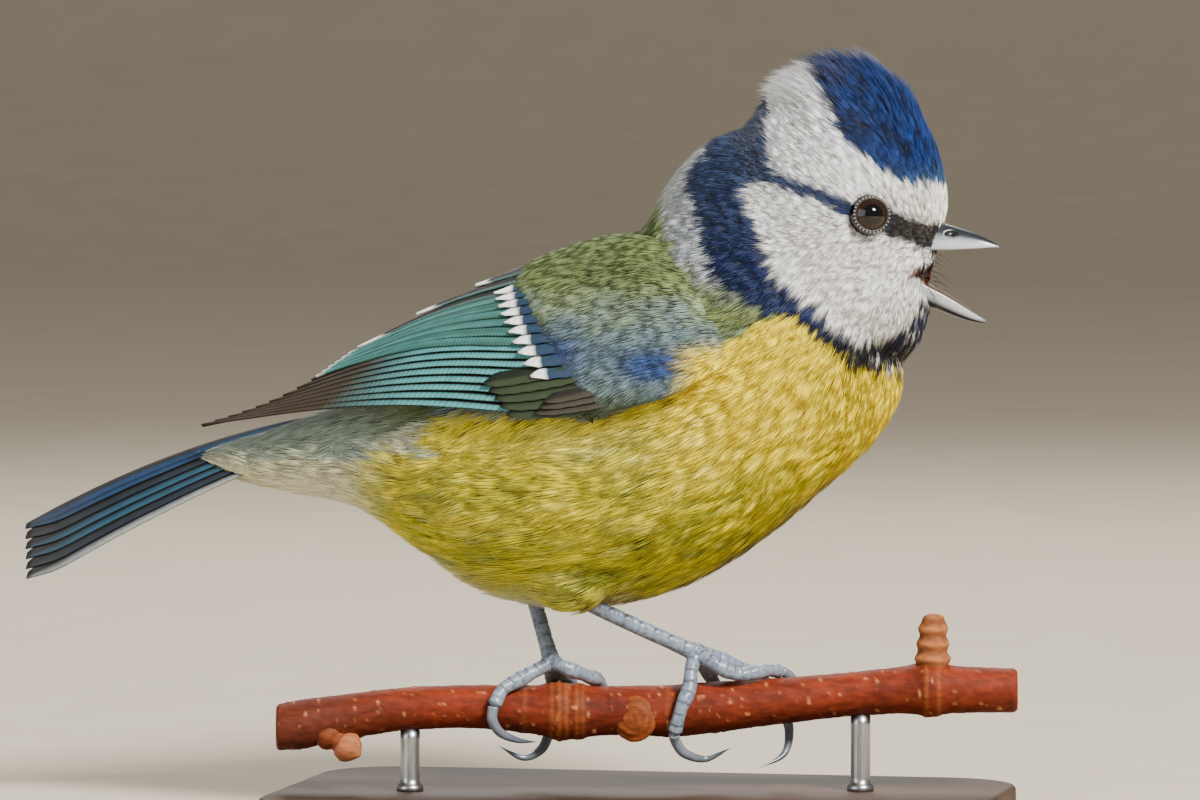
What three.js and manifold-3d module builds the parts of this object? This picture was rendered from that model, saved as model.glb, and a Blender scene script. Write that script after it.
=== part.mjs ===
// A life-size blue tit that sings on a short length of twig, over a plain display stand.
// Sizes are in millimetres. +X is the way the bird faces, +Y is its left side and +Z is up.
// The origin is the centre of the stand's underside.
import * as THREE from "three";
import { mergeVertices } from "three/addons/utils/BufferGeometryUtils.js";
import Module from "manifold-3d";

const wasm = await Module();
wasm.setup();

// Driving sizes
const GAP = 0.3; // left between neighbouring pieces
const TRUNK_ROOM = 0.85; // the same under the wings and tail, with room for its flatter faces
const PLUMAGE_YELLOW = "#d8c548";
const PLUMAGE_BLUE = "#2f4f94";
const PLUMAGE_WHITE = "#e6e6e2";
const FEATHER_SLATE = "#3f6f86";
const HORN_GREY = "#4a4f56";
const LEG_GREY = "#7f8a97";
const BARK = "#8a3d1f";
const STAND_WOOD = "#3a2c22";
const STEEL = "#a8a9ab";

const v3 = (x, y, z) => new THREE.Vector3(x, y, z);
const lerp = (a, b, t) => a + (b - a) * t;

// Solids from meshes, and back
function toSolid(geometry) {
  const bare = new THREE.BufferGeometry();
  bare.setAttribute("position", geometry.getAttribute("position").clone());
  if (geometry.index) bare.setIndex(geometry.index.clone());
  const merged = mergeVertices(bare, 1e-4);
  const corners = merged.index.array;
  const faces = [];
  for (let i = 0; i < corners.length; i += 3) {
    const [a, b, c] = [corners[i], corners[i + 1], corners[i + 2]];
    if (a !== b && b !== c && c !== a) faces.push([a, b, c]);
  }
  const vertProperties = merged.attributes.position.array;
  const make = (list) =>
    new wasm.Manifold(
      new wasm.Mesh({ numProp: 3, vertProperties, triVerts: new Uint32Array(list.flat()) }),
    );
  const solid = make(faces);
  return solid.volume() < 0 ? make(faces.map(([a, b, c]) => [a, c, b])) : solid;
}

const largest = (solid) =>
  solid.decompose().reduce((best, piece) => (piece.volume() > best.volume() ? piece : best));

// A solid's faces with its points on a fine grid, so that no sliver is thinner than a micrometre
const GRID = 1000;

function onGrid(solid) {
  const { vertProperties, triVerts } = largest(solid).getMesh();
  const places = new Map();
  const points = [];
  const indexOf = (corner) => {
    const at = [0, 1, 2].map((k) => Math.round(vertProperties[3 * corner + k] * GRID) / GRID);
    const key = at.join();
    if (!places.has(key)) {
      places.set(key, points.length / 3);
      points.push(...at);
    }
    return places.get(key);
  };
  const faces = new Map();
  for (let i = 0; i < triVerts.length; i += 3) {
    const [a, b, c] = [triVerts[i], triVerts[i + 1], triVerts[i + 2]].map(indexOf);
    if (a === b || b === c || c === a) continue;
    const key = [a, b, c].sort((x, y) => x - y).join();
    if (faces.has(key)) faces.delete(key); // two faces back to back close on each other
    else faces.set(key, [a, b, c]);
  }
  return { points, corners: [...faces.values()].flat() };
}

const union = (solids) => wasm.Manifold.union(solids);

const model = new THREE.Group();

function addNode(name, solid, color, roughness = 0.7, metalness = 0) {
  const { points, corners } = onGrid(solid);
  const geometry = new THREE.BufferGeometry();
  geometry.setAttribute("position", new THREE.Float32BufferAttribute(points, 3));
  geometry.setIndex(corners);
  geometry.computeVertexNormals();
  const mesh = new THREE.Mesh(geometry, new THREE.MeshStandardMaterial({ color, roughness, metalness }));
  mesh.name = name;
  model.add(mesh);
}

// A closed skin over rings that all have the same number of points
function loft(rings) {
  const around = rings[0].length;
  const points = rings.flat();
  const faces = [];
  for (let i = 0; i + 1 < rings.length; i++) {
    for (let j = 0; j < around; j++) {
      const a = i * around + j;
      const b = i * around + ((j + 1) % around);
      faces.push(a, b, b + around, a, b + around, a + around);
    }
  }
  const cap = (first, flip) => {
    const middle = v3(0, 0, 0);
    for (let j = 0; j < around; j++) middle.addScaledVector(points[first + j], 1 / around);
    points.push(middle);
    for (let j = 0; j < around; j++) {
      const [a, b] = [first + j, first + ((j + 1) % around)];
      faces.push(points.length - 1, flip ? b : a, flip ? a : b);
    }
  };
  cap(0, true);
  cap((rings.length - 1) * around, false);
  return toSolid(new THREE.BufferGeometry().setFromPoints(points).setIndex(faces));
}

// A thin blade from rows of {left, right, normal, thick}, split alike on both faces
function blade(rows) {
  const points = rows.flatMap(({ left, right, normal, thick }) => [
    left,
    right,
    right.clone().addScaledVector(normal, -thick),
    left.clone().addScaledVector(normal, -thick),
  ]);
  const faces = [0, 2, 1, 0, 3, 2];
  for (let i = 0; i + 1 < rows.length; i++) {
    const [l, r, rl, ll] = [0, 1, 2, 3].map((k) => 4 * i + k);
    const [l2, r2, rl2, ll2] = [4, 5, 6, 7].map((k) => 4 * i + k);
    faces.push(l, r, r2, l, r2, l2, ll, rl2, rl, ll, ll2, rl2);
    faces.push(r, rl, rl2, r, rl2, r2, ll, l, l2, ll, l2, ll2);
  }
  const end = 4 * (rows.length - 1);
  faces.push(end, end + 1, end + 2, end, end + 2, end + 3);
  return toSolid(new THREE.BufferGeometry().setFromPoints(points).setIndex(faces));
}

// A round bar along a curve, with its radius as a function of the share of the way
function bar(curve, radiusAt, steps, sides) {
  const frames = curve.computeFrenetFrames(steps, false);
  const rings = [];
  for (let i = 0; i <= steps; i++) {
    const at = curve.getPointAt(i / steps);
    const radius = radiusAt(i / steps);
    rings.push(
      Array.from({ length: sides }, (_, j) => {
        const turn = (2 * Math.PI * j) / sides;
        return at
          .clone()
          .addScaledVector(frames.normals[i], Math.cos(turn) * radius)
          .addScaledVector(frames.binormals[i], Math.sin(turn) * radius);
      }),
    );
  }
  return loft(rings);
}

const curveThrough = (list) => new THREE.CatmullRomCurve3(list.map((p) => v3(...p)), false, "centripetal");

// A table's columns as smooth functions of the share of the way down it
function smoothColumns(table) {
  const columns = table[0].map((_, k) =>
    new THREE.CatmullRomCurve3(table.map((row, i) => v3(i, row[k], 0)), false, "catmullrom", 0.5),
  );
  return (t) => columns.map((curve) => curve.getPoint(Math.min(1, Math.max(0, t))).y);
}

// The body, from the tail coverts to the throat. Each row is a slice across the body:
// its top x and z, its bottom x and z, and half its width.
const BODY_SLICES = [
  [-50.4, 41.8, -49.8, 38.6, 2.6],
  [-45.6, 43.2, -45.6, 36.6, 5.0],
  [-38.8, 45.4, -38.8, 35.4, 7.7],
  [-31.0, 48.4, -30.8, 33.6, 10.7],
  [-23.8, 52.0, -23.8, 29.0, 13.6],
  [-17.4, 56.0, -15.5, 24.2, 15.8],
  [-10.8, 60.2, -5.2, 23.2, 16.8],
  [-4.5, 63.6, 4.6, 25.4, 17.3],
  [0.2, 66.8, 13.1, 30.2, 17.1],
  [2.5, 70.6, 21.1, 36.7, 16.2],
  [5.4, 74.6, 27.1, 42.4, 14.8],
  [9.6, 77.4, 29.8, 47.9, 12.8],
  [15.3, 77.4, 28.9, 53.0, 10.4],
];
const bodySlice = smoothColumns(BODY_SLICES);

function bodySolid(grow = 0, steps = 22, sides = 20) {
  const rings = [];
  for (let i = 0; i <= steps; i++) {
    const [topX, topZ, bottomX, bottomZ, width] = bodySlice(i / steps);
    const top = v3(topX, 0, topZ);
    const bottom = v3(bottomX, 0, bottomZ);
    const middle = top.clone().lerp(bottom, 0.5);
    const up = top.clone().sub(bottom);
    const tall = up.length() / 2 + grow;
    up.normalize();
    rings.push(
      Array.from({ length: sides }, (_, j) => {
        const turn = (2 * Math.PI * j) / sides;
        return middle
          .clone()
          .addScaledVector(up, Math.cos(turn) * tall)
          .add(v3(0, Math.sin(turn) * (width + grow), 0));
      }),
    );
  }
  if (grow) rings.unshift(rings[0].map((p) => p.clone().add(v3(-grow, 0, 0))));
  return loft(rings);
}

// The head is a round form inside this outline of its middle, seen from the side, as x and z
const HEAD_OUTLINE = [
  [14.2, 80.6], [17.6, 83.2], [20.5, 84.5], [23.3, 85.0], [26.0, 84.6], [28.5, 83.2],
  [30.8, 80.8], [32.5, 78.1], [33.9, 75.1], [34.8, 72.0], [35.1, 69.0], [34.6, 66.4],
  [34.0, 63.6], [33.4, 60.8], [33.3, 58.0], [32.6, 55.2], [31.2, 52.4], [27.6, 50.8],
  [22.6, 52.2], [16.6, 56.4], [12.0, 62.0], [9.4, 68.6], [10.4, 75.6],
];
const HEAD_MIDDLE = [20.6, 63.5];
const HEAD_HALF_WIDTH = 12.5;
const HEAD_REACH = 0.985; // how near the last ring comes to the side's middle, of a quarter turn
const HEAD_TAPER = { low: 1.14, high: 0.84 };
const headOutline = new THREE.CatmullRomCurve3(HEAD_OUTLINE.map(([x, z]) => v3(x, 0, z)), true, "centripetal");

// Over 1 draws the sides in towards the face, and under 1 keeps the crown broad
const headTaper = (rise) => lerp(HEAD_TAPER.low, HEAD_TAPER.high, Math.max(0, rise));

function headSolid(grow = 0, around = 32, across = 12) {
  const outline = headOutline.getSpacedPoints(around).slice(0, around);
  const middle = v3(HEAD_MIDDLE[0], 0, HEAD_MIDDLE[1]);
  const rings = [];
  for (let i = 0; i <= across; i++) {
    const turn = lerp(-HEAD_REACH, HEAD_REACH, i / across) * (Math.PI / 2);
    rings.push(
      outline.map((p) => {
        const out = p.clone().sub(middle);
        const share = Math.cos(turn) ** headTaper(out.z / out.length());
        out.setLength((out.length() + grow) * share);
        return middle.clone().add(out).add(v3(0, Math.sin(turn) * (HEAD_HALF_WIDTH + grow), 0));
      }),
    );
  }
  return loft(rings);
}

// How far out the head's side is at a place given by x and z
function headSide(x, z) {
  const [dx, dz] = [x - HEAD_MIDDLE[0], z - HEAD_MIDDLE[1]];
  const toward = Math.atan2(dz, dx);
  const away = (p) => Math.abs(Math.atan2(p.z - HEAD_MIDDLE[1], p.x - HEAD_MIDDLE[0]) - toward);
  const nearest = headOutline.getSpacedPoints(400).reduce((best, p) => (away(p) < away(best) ? p : best));
  const reach = Math.hypot(nearest.x - HEAD_MIDDLE[0], nearest.z - HEAD_MIDDLE[1]);
  const share = (Math.hypot(dx, dz) / reach) ** (1 / headTaper(dz / Math.hypot(dx, dz)));
  return HEAD_HALF_WIDTH * Math.sqrt(1 - share * share);
}

// The eyes. Each lid is a dome round the eyeball, cut off flat at the opening.
const EYE = { x: 28.0, z: 68.1, radius: 2.3, lid: 0.25, opening: 1.55, proud: 0.3 };
const EYE_FORWARD = v3(0.37, 0.92, 0.12); // a left eye looks between this and straight out of the head
const mirrored = (vector, side) => v3(vector.x, vector.y * side, vector.z);

function eyeLook() {
  const d = 0.5;
  const slopeX = headSide(EYE.x + d, EYE.z) - headSide(EYE.x - d, EYE.z);
  const slopeZ = headSide(EYE.x, EYE.z + d) - headSide(EYE.x, EYE.z - d);
  return v3(-slopeX, 2 * d, -slopeZ).normalize().lerp(EYE_FORWARD, 0.5).normalize();
}

const EYE_LOOK = eyeLook();
const eyeCentre = (side) => {
  const surface = v3(EYE.x, side * headSide(EYE.x, EYE.z), EYE.z);
  return surface.addScaledVector(mirrored(EYE_LOOK, side), EYE.proud - EYE.opening);
};

function eyeSolid(side, grow = 0) {
  const sphere = new THREE.SphereGeometry(EYE.radius + grow, 14, 9);
  const centre = eyeCentre(side);
  return toSolid(sphere.translate(centre.x, centre.y, centre.z));
}

function lidSolid(side) {
  const look = mirrored(EYE_LOOK, side);
  const dome = eyeSolid(side, GAP + EYE.lid);
  const flat = eyeCentre(side).addScaledVector(look, EYE.opening).dot(look);
  return dome.trimByPlane(look.clone().negate().toArray(), -flat);
}

// Each half of the bill. A row is x, the ridge's z, the lower edge's z, and half the width.
const UPPER_BILL = [
  [31.4, 67.7, 64.0, 2.15],
  [34.2, 66.9, 64.0, 1.9],
  [36.2, 66.3, 64.1, 1.45],
  [38.2, 65.6, 64.2, 0.95],
  [39.5, 64.95, 64.3, 0.5],
  [40.3, 64.5, 64.3, 0.12],
];
// For the lower half a row is x, the edge's z, the keel's z, and half the width
const LOWER_BILL = [
  [30.6, 61.2, 58.6, 2.1],
  [32.6, 60.0, 57.7, 1.85],
  [34.6, 58.9, 56.9, 1.45],
  [36.4, 57.8, 56.3, 1.0],
  [37.8, 56.9, 56.0, 0.55],
  [38.8, 56.3, 55.95, 0.12],
];
const TROUGH_WALL = 0.5;

function billSolid(rows, grow = 0, ridgeUp = true) {
  const at = smoothColumns(rows);
  const steps = 9;
  const rings = [];
  for (let i = 0; i <= steps; i++) {
    const [x, high, low, wide] = at(i / steps);
    const [ridge, edge] = ridgeUp ? [high + grow, low - grow] : [low - grow, high + grow];
    const half = wide + grow;
    const shoulder = lerp(edge, ridge, 0.45);
    rings.push([
      v3(x, 0, ridge), v3(x, half * 0.55, lerp(ridge, shoulder, 0.35)), v3(x, half, shoulder),
      v3(x, half * 0.96, edge), v3(x, 0, edge), v3(x, -half * 0.96, edge),
      v3(x, -half, shoulder), v3(x, -half * 0.55, lerp(ridge, shoulder, 0.35)),
    ]);
  }
  return loft(rings);
}

// The nostrils, an oval pit on each side of the upper bill's root
const NOSTRIL = { x: 35.15, y: 1.5, z: 65.75, long: 0.6, deep: 0.55, tall: 0.3, lean: 0.25 };

function nostrilSolid(side) {
  const pit = new THREE.SphereGeometry(1, 10, 6).scale(NOSTRIL.long, NOSTRIL.deep, NOSTRIL.tall);
  return toSolid(pit.rotateY(NOSTRIL.lean).translate(NOSTRIL.x, NOSTRIL.y * side, NOSTRIL.z));
}

// The hollow between the edges of each half of the bill
function troughSolid(rows, ridgeUp) {
  const kept = rows.slice(0, 5).map(([x, high, low, wide]) => {
    const deep = (high - low) * 0.45;
    const half = Math.max(0.12, wide - TROUGH_WALL);
    return ridgeUp ? [x, low + deep, low - 1, half] : [x, high + 1, high - deep, half];
  });
  return billSolid(kept, 0, ridgeUp);
}

// The open mouth is a wedge that ends at its corners, with the hollow of the throat behind
const MOUTH = { cornerX: 31.8, cornerZ: 61.3, upperZ: 64.2, lowerZ: 57.0, frontX: 37, wide: 8 };
const THROAT = { long: 4.2, wide: 2.0, tall: 1.5, lean: -0.25, back: 0.6 };

function mouthSolid() {
  const wedge = new THREE.Shape([
    new THREE.Vector2(MOUTH.cornerX, MOUTH.cornerZ),
    new THREE.Vector2(MOUTH.frontX, MOUTH.lowerZ),
    new THREE.Vector2(MOUTH.frontX, MOUTH.upperZ),
  ]);
  const slab = new THREE.ExtrudeGeometry(wedge, { depth: MOUTH.wide, bevelEnabled: false, steps: 1 });
  slab.rotateX(Math.PI / 2).translate(0, MOUTH.wide / 2, 0);
  const throat = new THREE.SphereGeometry(1, 10, 8).scale(THROAT.long, THROAT.wide, THROAT.tall);
  throat.rotateY(THROAT.lean).translate(MOUTH.cornerX - THROAT.back, 0, MOUTH.cornerZ);
  return union([toSolid(slab), toSolid(throat)]);
}

// The crown's small crest: rows of short blades that lie back over the rear of the cap
const CREST = { rows: 2, perRow: 5, long: 4.2, wide: 1.7, thick: 0.5, lift: 0.45 };

function crestBlades() {
  const blades = [];
  const outline = headOutline.getSpacedPoints(400);
  const middle = v3(HEAD_MIDDLE[0], 0, HEAD_MIDDLE[1]);
  const onCrown = (share, side, high) => {
    const p = outline[Math.round(share * 400)];
    const turn = side * (Math.PI / 2);
    const out = p.clone().sub(middle);
    out.setLength(out.length() * Math.cos(turn) ** headTaper(out.z / out.length()));
    const at = middle.clone().add(out).add(v3(0, Math.sin(turn) * HEAD_HALF_WIDTH, 0));
    return at.add(out.setLength(high));
  };
  for (let row = 0; row < CREST.rows; row++) {
    for (let k = 0; k < CREST.perRow; k++) {
      const side = lerp(-0.34, 0.34, (k + (row % 2) * 0.5) / CREST.perRow + 0.1);
      const from = 0.135 - row * 0.022 - Math.abs(side) * 0.03;
      const rows = [0, 0.4, 0.8, 1].map((t, i) => {
        const half = CREST.wide * [0.35, 0.5, 0.4, 0.06][i];
        const share = from - t * (CREST.long / 92);
        const high = lerp(-0.35, CREST.lift, t ** 1.3);
        const at = onCrown((share + 1) % 1, side, high);
        const beside = onCrown((share + 1) % 1, side + 0.02, high).sub(at).normalize();
        const normal = at.clone().sub(middle).normalize();
        return {
          left: at.clone().addScaledVector(beside, -half),
          right: at.clone().addScaledVector(beside, half),
          normal,
          thick: CREST.thick,
        };
      });
      blades.push(blade(rows));
    }
  }
  return blades;
}

// The folded wing lies on a curved sheet. A row is a place along it, from the shoulder to the tip:
// the edge by the back as x, y and z, the edge by the flank as x, y and z, and how far it bulges.
const WING_SHEET = [
  [9.5, 11.6, 62.4, 14.2, 14.2, 53.6, 1.6],
  [3.2, 8.4, 65.2, 8.4, 17.2, 49.0, 2.9],
  [-4.4, 5.0, 64.4, 0.4, 18.2, 46.6, 3.5],
  [-13.0, 3.0, 61.2, -8.6, 18.0, 45.4, 3.6],
  [-21.6, 2.5, 57.4, -18.2, 16.4, 45.2, 3.0],
  [-30.4, 2.4, 52.6, -27.8, 13.6, 44.9, 1.9],
  [-39.8, 2.5, 47.2, -38.6, 9.2, 44.2, 0.9],
  [-49.0, 2.7, 43.6, -48.8, 5.4, 43.1, 0.3],
];
const wingColumns = smoothColumns(WING_SHEET);

function onWing(along, across, high, side) {
  const edges = (t) => {
    const [ux, uy, uz, lx, ly, lz, bulge] = wingColumns(t);
    return [v3(ux, uy, uz), v3(lx, ly, lz), bulge];
  };
  const [upper, lower, bulge] = edges(along);
  const ahead = edges(Math.min(1, along + 0.01))[0].sub(edges(Math.min(1, along + 0.01) - 0.02)[0]);
  const chord = lower.clone().sub(upper);
  const out = chord.clone().cross(ahead).normalize();
  const point = upper.clone().lerp(lower, across);
  point.addScaledVector(out, bulge * 4 * across * (1 - across) + high);
  return v3(point.x, point.y * side, point.z);
}

const wingChord = (along) => {
  const [ux, uy, uz, lx, ly, lz] = wingColumns(along);
  return Math.hypot(lx - ux, ly - uy, lz - uz);
};

const FEATHER_FORM = [0.5, 1, 1, 0.76, 0.12];

const TIP_PULL = 0.25; // how far a vane's outer edge comes in at its tip, in widths
const VANE_THICK = 0.5;

// One flight feather or covert on the wing: its edge by the flank runs from root to tip, its other
// edge stays beside it all the way, and its thickness is square to the vane itself
function wingVane(side, { root, tip, wide, high, tilt }) {
  const places = FEATHER_FORM.map((form, i) => {
    const t = i / (FEATHER_FORM.length - 1);
    const along = lerp(root[0], tip[0], t);
    const width = wide / wingChord(along);
    const outer = lerp(root[1], tip[1], t ** 1.4) - (1 - form) * TIP_PULL * width;
    return {
      left: onWing(along, outer - width * form, high - tilt * form, side),
      right: onWing(along, outer, high, side),
    };
  });
  const rows = places.map(({ left, right }, i) => {
    const before = places[Math.max(0, i - 1)];
    const after = places[Math.min(places.length - 1, i + 1)];
    const ahead = after.left.clone().add(after.right).sub(before.left).sub(before.right);
    const normal = right.clone().sub(left).cross(ahead).multiplyScalar(side).normalize();
    return { left, right, normal, thick: VANE_THICK };
  });
  return blade(rows);
}

// The tiers of feathers. Each runs from the one nearest the back to the one nearest the flank.
const WING_TIERS = {
  primaries: {
    count: 8, root: [[0.3, 0.66], [0.24, 1.0]], tip: [[0.8, 0.32], [1.0, 0.75]],
    wide: [2.6, 2.1], high: [0.55, 0.45], tilt: 0.8,
  },
  secondaries: {
    count: 5, root: [[0.28, 0.36], [0.3, 0.68]], tip: [[0.735, 0.2], [0.79, 0.34]],
    wide: [3.4, 3.2], high: [0.8, 0.65], tilt: 0.8,
  },
  tertials: {
    count: 3, root: [[0.26, 0.16], [0.28, 0.3]], tip: [[0.5, 0.1], [0.72, 0.16]],
    wide: [4.2, 3.6], high: [1.1, 0.8], tilt: 0.6,
  },
  primaryCoverts: {
    count: 3, root: [[0.3, 0.84], [0.3, 1.0]], tip: [[0.485, 0.88], [0.46, 1.0]],
    wide: [2.4, 2.0], high: [0.7, 0.3], tilt: 0.6,
  },
  greaterCoverts: {
    count: 5, root: [[0.2, 0.3], [0.2, 0.86]], tip: [[0.445, 0.3], [0.385, 0.86]],
    wide: [3.2, 2.8], high: [1.2, 1.05], tilt: 0.7,
  },
  alula: {
    count: 2, root: [[0.22, 0.92], [0.22, 1.0]], tip: [[0.39, 0.96], [0.41, 1.01]],
    wide: [2.2, 1.9], high: [1.0, 0.6], tilt: 0.5,
  },
};

function tierVanes(side, tier) {
  return Array.from({ length: tier.count }, (_, k) => {
    const t = k / (tier.count - 1);
    const between = ([a, b]) => (Array.isArray(a) ? a.map((x, i) => lerp(x, b[i], t)) : lerp(a, b, t));
    return wingVane(side, {
      root: between(tier.root),
      tip: between(tier.tip),
      wide: between(tier.wide),
      high: between(tier.high),
      tilt: tier.tilt,
    });
  });
}

// The feathered arm of the wing, which the coverts and quills grow from
function armSolid(side) {
  const steps = 6;
  const across = [0, 0.15, 0.5, 0.85, 1];
  const rings = [];
  for (let i = 0; i <= steps; i++) {
    const along = lerp(0.0, 0.34, i / steps);
    const puff = 1.0 * Math.sin(Math.PI * lerp(0.2, 0.96, i / steps)) + 0.1;
    const face = across.map((q) => onWing(along, q, 0.5 + puff * (0.4 + 2.4 * q * (1 - q)), side));
    const back = [...across].reverse().map((q) => onWing(along, lerp(0.06, 0.94, q), -3.2, side));
    rings.push([...face, ...back]);
  }
  return loft(rings);
}

function wingSolid(side) {
  return union([armSolid(side), ...Object.values(WING_TIERS).flatMap((tier) => tierVanes(side, tier))]);
}

// The tail is twelve feathers in a fan, with its halves folded down a little from the middle pair
const TAIL = {
  perSide: 6, rootX: -38, rootZ: 44.8, long: 32.7, drop: 0.2, bend: 0.0055, fan: 0.165,
  wide: 5.6, fold: 0.62, roll: 0.16, step: 0.32, thick: 0.5, stagger: 1.6,
  heart: { long: 9, wide: 3.2, tall: 2.4, back: 3.2, low: 2.6 },
};

function tailVane(side, k) {
  const away = (TAIL.fan * (k + 0.25)) / TAIL.perSide;
  const length = TAIL.long - (TAIL.stagger * k) / (TAIL.perSide - 1);
  const rows = FEATHER_FORM.map((form, i) => {
    const t = i / (FEATHER_FORM.length - 1);
    const back = length * t;
    const middle = back * Math.tan(away) + 0.42 * k;
    const half = (TAIL.wide / 2) * lerp(form, 1, t < 0.5 ? 0.2 : 0) * lerp(0.62, 1, t);
    const place = (beside) => {
      const folded = beside * Math.cos(TAIL.fold);
      const down = Math.abs(beside) * Math.sin(TAIL.fold) + TAIL.step * k;
      const y = folded * Math.cos(TAIL.roll) - down * Math.sin(TAIL.roll) * 0.2;
      const z = -down + folded * Math.sin(TAIL.roll);
      return v3(TAIL.rootX - back, y, TAIL.rootZ - back * (TAIL.drop + back * TAIL.bend) + z);
    };
    const inner = place(side * Math.max(0.05, middle - half * 0.7));
    const outer = place(side * (middle + half));
    const slope = TAIL.drop + 2 * back * TAIL.bend;
    const normal = v3(-slope, side * Math.sin(TAIL.fold), Math.cos(TAIL.fold)).normalize();
    return { left: inner, right: outer, normal, thick: TAIL.thick };
  });
  return blade(rows);
}

function tailSolid() {
  const { long, wide, tall, back, low } = TAIL.heart; // the flesh that all the quills stand in
  const root = new THREE.BoxGeometry(long, wide, tall).rotateY(-Math.atan(TAIL.drop));
  root.translate(TAIL.rootX - back, 0, TAIL.rootZ - low);
  const vanes = [1, -1].flatMap((side) =>
    Array.from({ length: TAIL.perSide }, (_, k) => tailVane(side, k)),
  );
  return union([toSolid(root), ...vanes]);
}

// The twig. A row is a place along it as x and z, with its radius.
const TWIG = [
  [-39.5, 10.6, 2.55], [-36.5, 11.0, 2.75], [-33.0, 11.6, 2.55], [-26.0, 12.6, 2.4], [-18.5, 12.9, 2.4],
  [-12.4, 12.6, 2.65], [-8.8, 12.4, 3.05], [-5.6, 12.4, 2.8], [-1.0, 12.5, 2.75], [3.4, 12.4, 2.9],
  [7.5, 12.8, 2.85], [14.0, 13.4, 2.6], [22.0, 14.2, 2.45], [28.0, 14.7, 2.6], [31.4, 14.9, 2.95],
  [35.0, 14.8, 2.6], [41.0, 14.7, 2.45],
];
const TWIG_TURN = 0.21; // about Z, so that its right end goes towards the bird's left
const alongTwig = new THREE.CatmullRomCurve3(
  TWIG.map(([x, z]) => v3(x, x * Math.tan(TWIG_TURN), z)), false, "centripetal",
);
const twigColumns = smoothColumns(TWIG);

// The place along the twig, as a share of the way, at a given x
function twigShare(x) {
  let [low, high] = [0, 1];
  for (let i = 0; i < 30; i++) {
    const mid = (low + high) / 2;
    if (twigColumns(mid)[0] < x) low = mid;
    else high = mid;
  }
  return (low + high) / 2;
}

// A point at a distance outside the bark: its x along the twig and its angle from the top,
// where a positive angle goes down the bird's right side
function onTwig(x, angle, high) {
  const share = twigShare(x);
  const [, , radius] = twigColumns(share);
  const centre = alongTwig.getPoint(share);
  const beside = v3(Math.sin(TWIG_TURN), -Math.cos(TWIG_TURN), 0);
  return centre
    .addScaledVector(beside, Math.sin(angle) * (radius + high))
    .add(v3(0, 0, Math.cos(angle) * (radius + high)));
}

const NODE_RINGS = [-8.8, -6.6, 31.6]; // where growth scars ring the twig, as x
const SPUR = { x: 31.8, tall: 4.8, radius: 1.75, rings: 4 };
const BUD = { x: -33.2, long: 4.6, radius: 1.7 };
const SCAR = { x: -0.6, angle: 1.95, sizes: [2.5, 1.3, 2.6] };

function twigSolid(grow = 0, steps = 30, sides = 9) {
  const rings = [];
  for (let i = 0; i <= steps; i++) {
    const share = i / steps;
    const [x, , radius] = twigColumns(share);
    const centre = alongTwig.getPoint(share);
    const scar = NODE_RINGS.reduce((sum, at) => sum + 0.22 * Math.exp(-(((x - at) / 0.55) ** 2)), 0);
    const r = radius + scar + grow;
    rings.push(
      Array.from({ length: sides }, (_, j) => {
        const turn = (2 * Math.PI * j) / sides;
        const beside = v3(Math.sin(TWIG_TURN), -Math.cos(TWIG_TURN), 0);
        return centre
          .clone()
          .addScaledVector(beside, Math.sin(turn) * r)
          .add(v3(0, 0, Math.cos(turn) * r));
      }),
    );
  }
  return loft(rings);
}

// The stump of a side shoot, ringed where each year's buds stood
function spurSolid() {
  const base = onTwig(SPUR.x, 0, -1.2);
  const profile = [new THREE.Vector2(0, 0)];
  for (let i = 0; i <= SPUR.rings * 2; i++) {
    const t = i / (SPUR.rings * 2);
    const r = SPUR.radius * (i % 2 ? 0.86 : 1) * lerp(1.25, 0.85, t);
    profile.push(new THREE.Vector2(r, (SPUR.tall + 1.2) * t));
  }
  profile.push(new THREE.Vector2(SPUR.radius * 0.5, SPUR.tall + 1.7), new THREE.Vector2(0, SPUR.tall + 1.8));
  const shape = new THREE.LatheGeometry(profile, 8).rotateX(Math.PI / 2).rotateZ(0.3).rotateY(0.1);
  return toSolid(shape.translate(base.x, base.y, base.z));
}

// The pad under a fallen leaf's scar
function scarSolid() {
  const centre = onTwig(SCAR.x, SCAR.angle, -0.7);
  const pad = new THREE.SphereGeometry(1, 8, 6).scale(...SCAR.sizes).rotateY(0.2);
  return toSolid(pad.translate(centre.x, centre.y, centre.z));
}

function budSolid() {
  const from = onTwig(BUD.x - 1.2, 2.6, -1.4);
  const to = onTwig(BUD.x + 2.8, 2.7, BUD.long - 2.2);
  const path = new THREE.LineCurve3(from, to);
  return bar(path, (t) => BUD.radius * [0.95, 1.05, 0.95, 0.7, 0.95, 1.0, 0.72, 0.25][Math.round(t * 7)], 7, 8);
}

// The legs. An ankle is where the bare shank leaves the belly, and a foot is where its toes meet.
// The rise is how far above the ankle the shank starts.
const LEGS = {
  right: { ankle: [-5.6, -7.2, 25.3], rise: 0.9, foot: { x: 6.1, angle: 0.2, high: 3.6 } },
  left: { ankle: [-13.6, 7.4, 27.2], rise: 2.4, foot: { x: -9.6, angle: -0.1, high: 2.4 } },
};
const SHANK_RADIUS = 0.85;
const SHANK_SUNK = 1.6; // how far back inside the belly a shank starts
const SHANK_BOW = 0.25;
const FOOT_RADIUS = 1.2;
const TOE_RADIUS = 0.9;
const CLAW_RADIUS = 0.62;
const THIGH = { sizes: [5.6, 3.9, 5.4], lean: 0.5, back: 0.6, above: 3.6 };

const footCentre = ({ foot }) => onTwig(foot.x, foot.angle, foot.high);

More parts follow.
